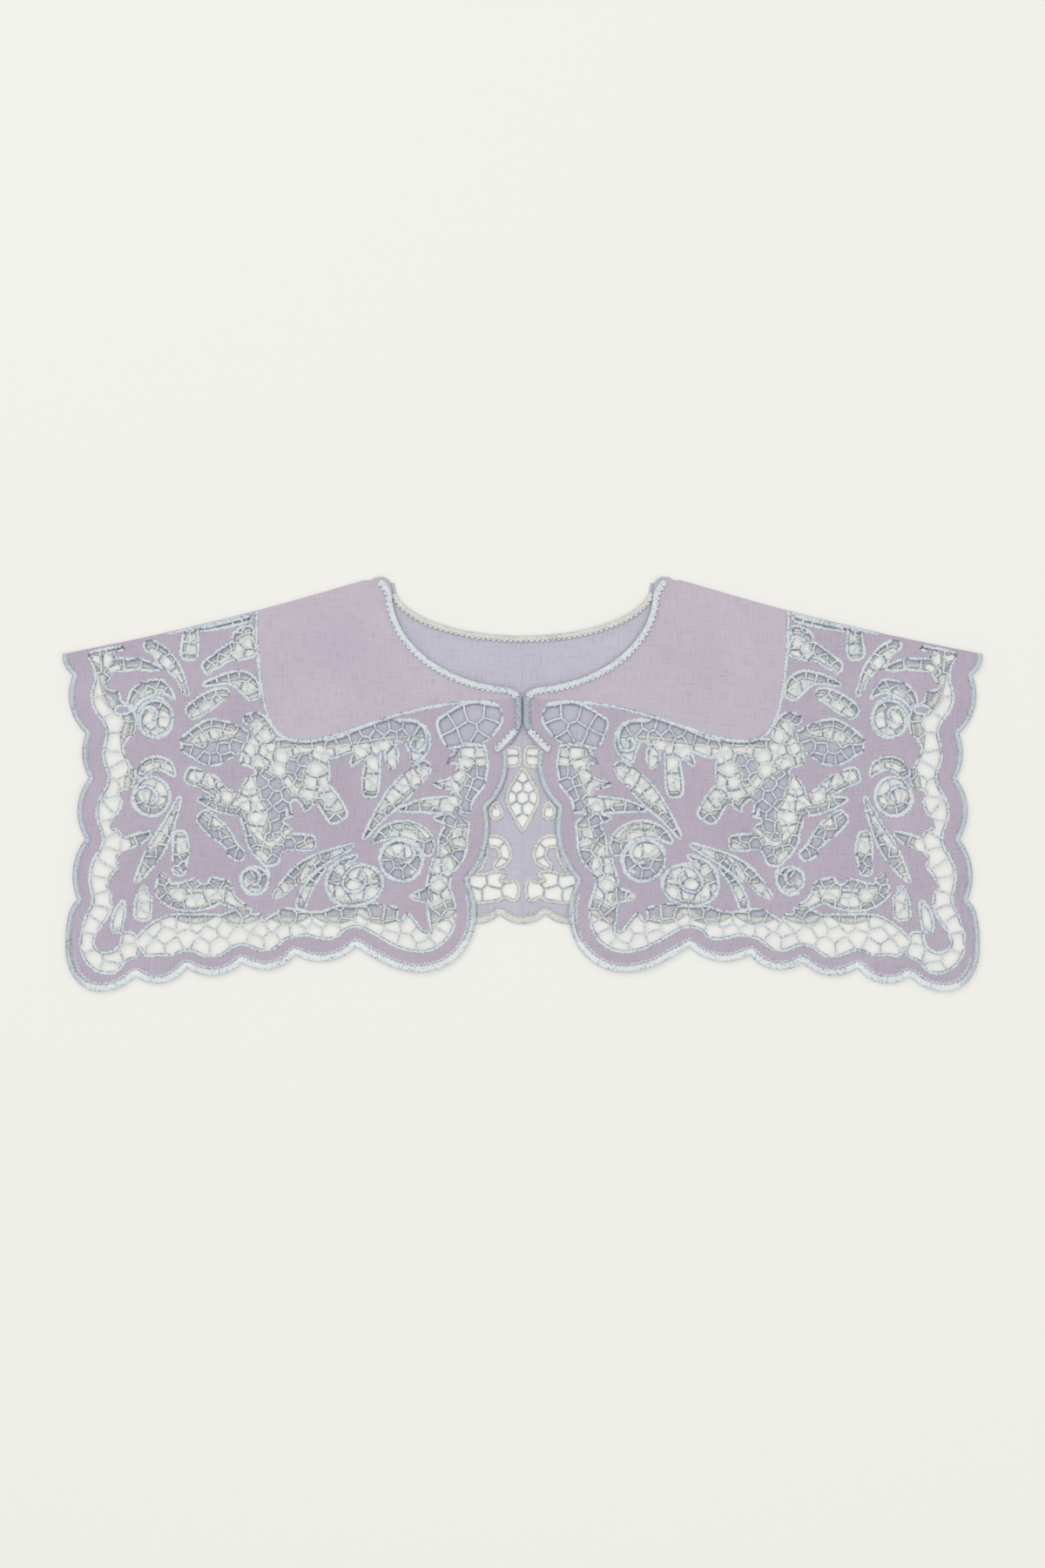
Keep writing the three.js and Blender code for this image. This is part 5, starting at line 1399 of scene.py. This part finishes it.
class COLLAR_OT_trim(bpy.types.Operator):
    """Make the picot trim round the neck and down the centre front"""

    bl_idname = "collar.trim"
    bl_label = "Neck trim"
    bl_options = {"REGISTER", "UNDO"}

    def execute(self, context):
        sizes = context.scene.collar_sizes
        ripple = sizes.ripple / MM
        wide = sizes.trim / MM
        light, shade = colours_of("thread", "thread_shade")
        front = bmesh.new()
        lay = Layer(TRIM_MIDDLE, ripple, True)
        edge = [*TRIM_TOP, *reversed(neck_curve(FRONT_NECK, *FRONT_NECK_ARC)), *TRIM_FOOT]
        edge = eased(paced(edge, TRIM_STEP), 8)
        turns = [next(i for i, p in enumerate(edge) if p[1] < y) for y in TRIM_TURNS]
        marks = [0, *turns, len(edge) - 1]
        # the middle stretch, where the fronts meet, takes the second finish, with painted shade
        for a, b, stretch in zip(marks, marks[1:], (0, 1, 0)):
            self.strip(front, lay, list(reversed(edge[a:b + 1])), wide, stretch)
        # slate: the trim's thread darkened into painted shade
        slate = mingled(light, shade, 0.45)
        pale = thread_finish("neck trim", light, shade, pitch=0.5, edge=0.4, speckle=5.0, paler=0.3)
        dark = thread_finish("centre trim, painted shade", slate, shade, pitch=0.5, edge=0.4, speckle=4.0, paler=0.1)
        both_hands("neck_trim", front, [pale, dark], "neck_braid")
        back = bmesh.new()
        edge = paced(neck_curve(BACK_NECK, *BACK_TRIM_ARC), TRIM_STEP)
        self.strip(back, Layer(BACK_TRIM_MIDDLE, ripple, False), edge, wide, 0)
        light, shade = colours_of("inner_thread", "inner_shade")
        ivory = thread_finish("neck trim, inside", light, shade, pitch=0.5, edge=0.4, speckle=3.2, paler=0.15)
        piece = finished("neck_trim_back", back, [ivory])
        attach(piece, "root")
        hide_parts("neck_braid_back")
        return {"FINISHED"}

    def strip(self, bm, lay, edge, wide, finish):
        """A braid on a free edge with the cloth on its right: a rope, a flat band and a row of picots."""
        cord(bm, lay, moved_in(edge, 0.5), 1.0, 1.0, 8, finish=finish)
        cord(bm, lay, moved_in(edge, wide / 2 + 0.3), wide, 0.7, 8, finish=finish)
        inner = paced(moved_in(edge, wide + 0.35), 0.35)
        cord(bm, lay, zigzag(inner, PICOT_HIGH, PICOT_PITCH), 1.15, 0.85, 6, off=0.05, finish=finish)


LAMPS = (("key", (-0.8, 1.1, 2.4), 2.0, 33), ("fill", (0.9, -0.5, 2.5), 2.2, 17))  # name, place, size, power
ROOM_LIGHT = 0.62
FRAME_TALL = 0.9  # metres of the table in the picture's long side


class COLLAR_OT_stage(bpy.types.Operator):
    """Set the pale table, the lights and the camera straight above"""

    bl_idname = "collar.stage"
    bl_label = "Stage"
    bl_options = {"REGISTER", "UNDO"}

    def execute(self, context):
        scene = context.scene
        bm = bmesh.new()
        bmesh.ops.create_grid(bm, x_segments=2, y_segments=2, size=4)
        table = finished("table", bm, [floor_finish()])
        world = bpy.data.worlds.new("soft room")
        world.use_nodes = True
        world.node_tree.nodes["Background"].inputs[0].default_value = (1.0, 1.0, 1.0, 1)
        world.node_tree.nodes["Background"].inputs[1].default_value = ROOM_LIGHT
        scene.world = world
        for name, spot, size, power in LAMPS:
            light = bpy.data.lights.new(name, "AREA")
            light.size, light.energy = size, power
            lamp = bpy.data.objects.new(name, light)
            lamp.location = spot
            lamp.rotation_euler = (-Vector(spot)).to_track_quat("-Z", "Y").to_euler()
            scene.collection.objects.link(lamp)
        lens = bpy.data.cameras.new("above")
        lens.lens, lens.clip_end = 120, 20
        camera = bpy.data.objects.new("above", lens)
        camera.location = (0, 0, FRAME_TALL * lens.lens / lens.sensor_width)
        scene.collection.objects.link(camera)
        scene.camera = camera
        scene.view_settings.view_transform = "Standard"
        return {"FINISHED"}


class COLLAR_PT_panel(bpy.types.Panel):
    """Lists the collar's pieces and settings"""

    bl_label = "Cutwork collar"
    bl_idname = "COLLAR_PT_panel"
    bl_space_type = "VIEW_3D"
    bl_region_type = "UI"
    bl_category = "Collar"

    def draw(self, context):
        for settings in (context.scene.collar_sizes, context.scene.collar_colours):
            for name in type(settings).__annotations__:
                self.layout.prop(settings, name)
        for operator in STEPS:
            self.layout.operator(operator.bl_idname)


STEPS = (COLLAR_OT_back, COLLAR_OT_fronts, COLLAR_OT_trim, COLLAR_OT_stage)
CLASSES = (CollarSizes, CollarColours, *STEPS, COLLAR_PT_panel)


def register():
    for cls in CLASSES:
        bpy.utils.register_class(cls)
    bpy.types.Scene.collar_sizes = bpy.props.PointerProperty(type=CollarSizes)
    bpy.types.Scene.collar_colours = bpy.props.PointerProperty(type=CollarColours)


def unregister():
    del bpy.types.Scene.collar_colours
    del bpy.types.Scene.collar_sizes
    for cls in reversed(CLASSES):
        bpy.utils.unregister_class(cls)


def main():
    register()
    for step in STEPS:
        group, name = step.bl_idname.split(".")
        getattr(getattr(bpy.ops, group), name)()


if __name__ == "__main__":
    main()
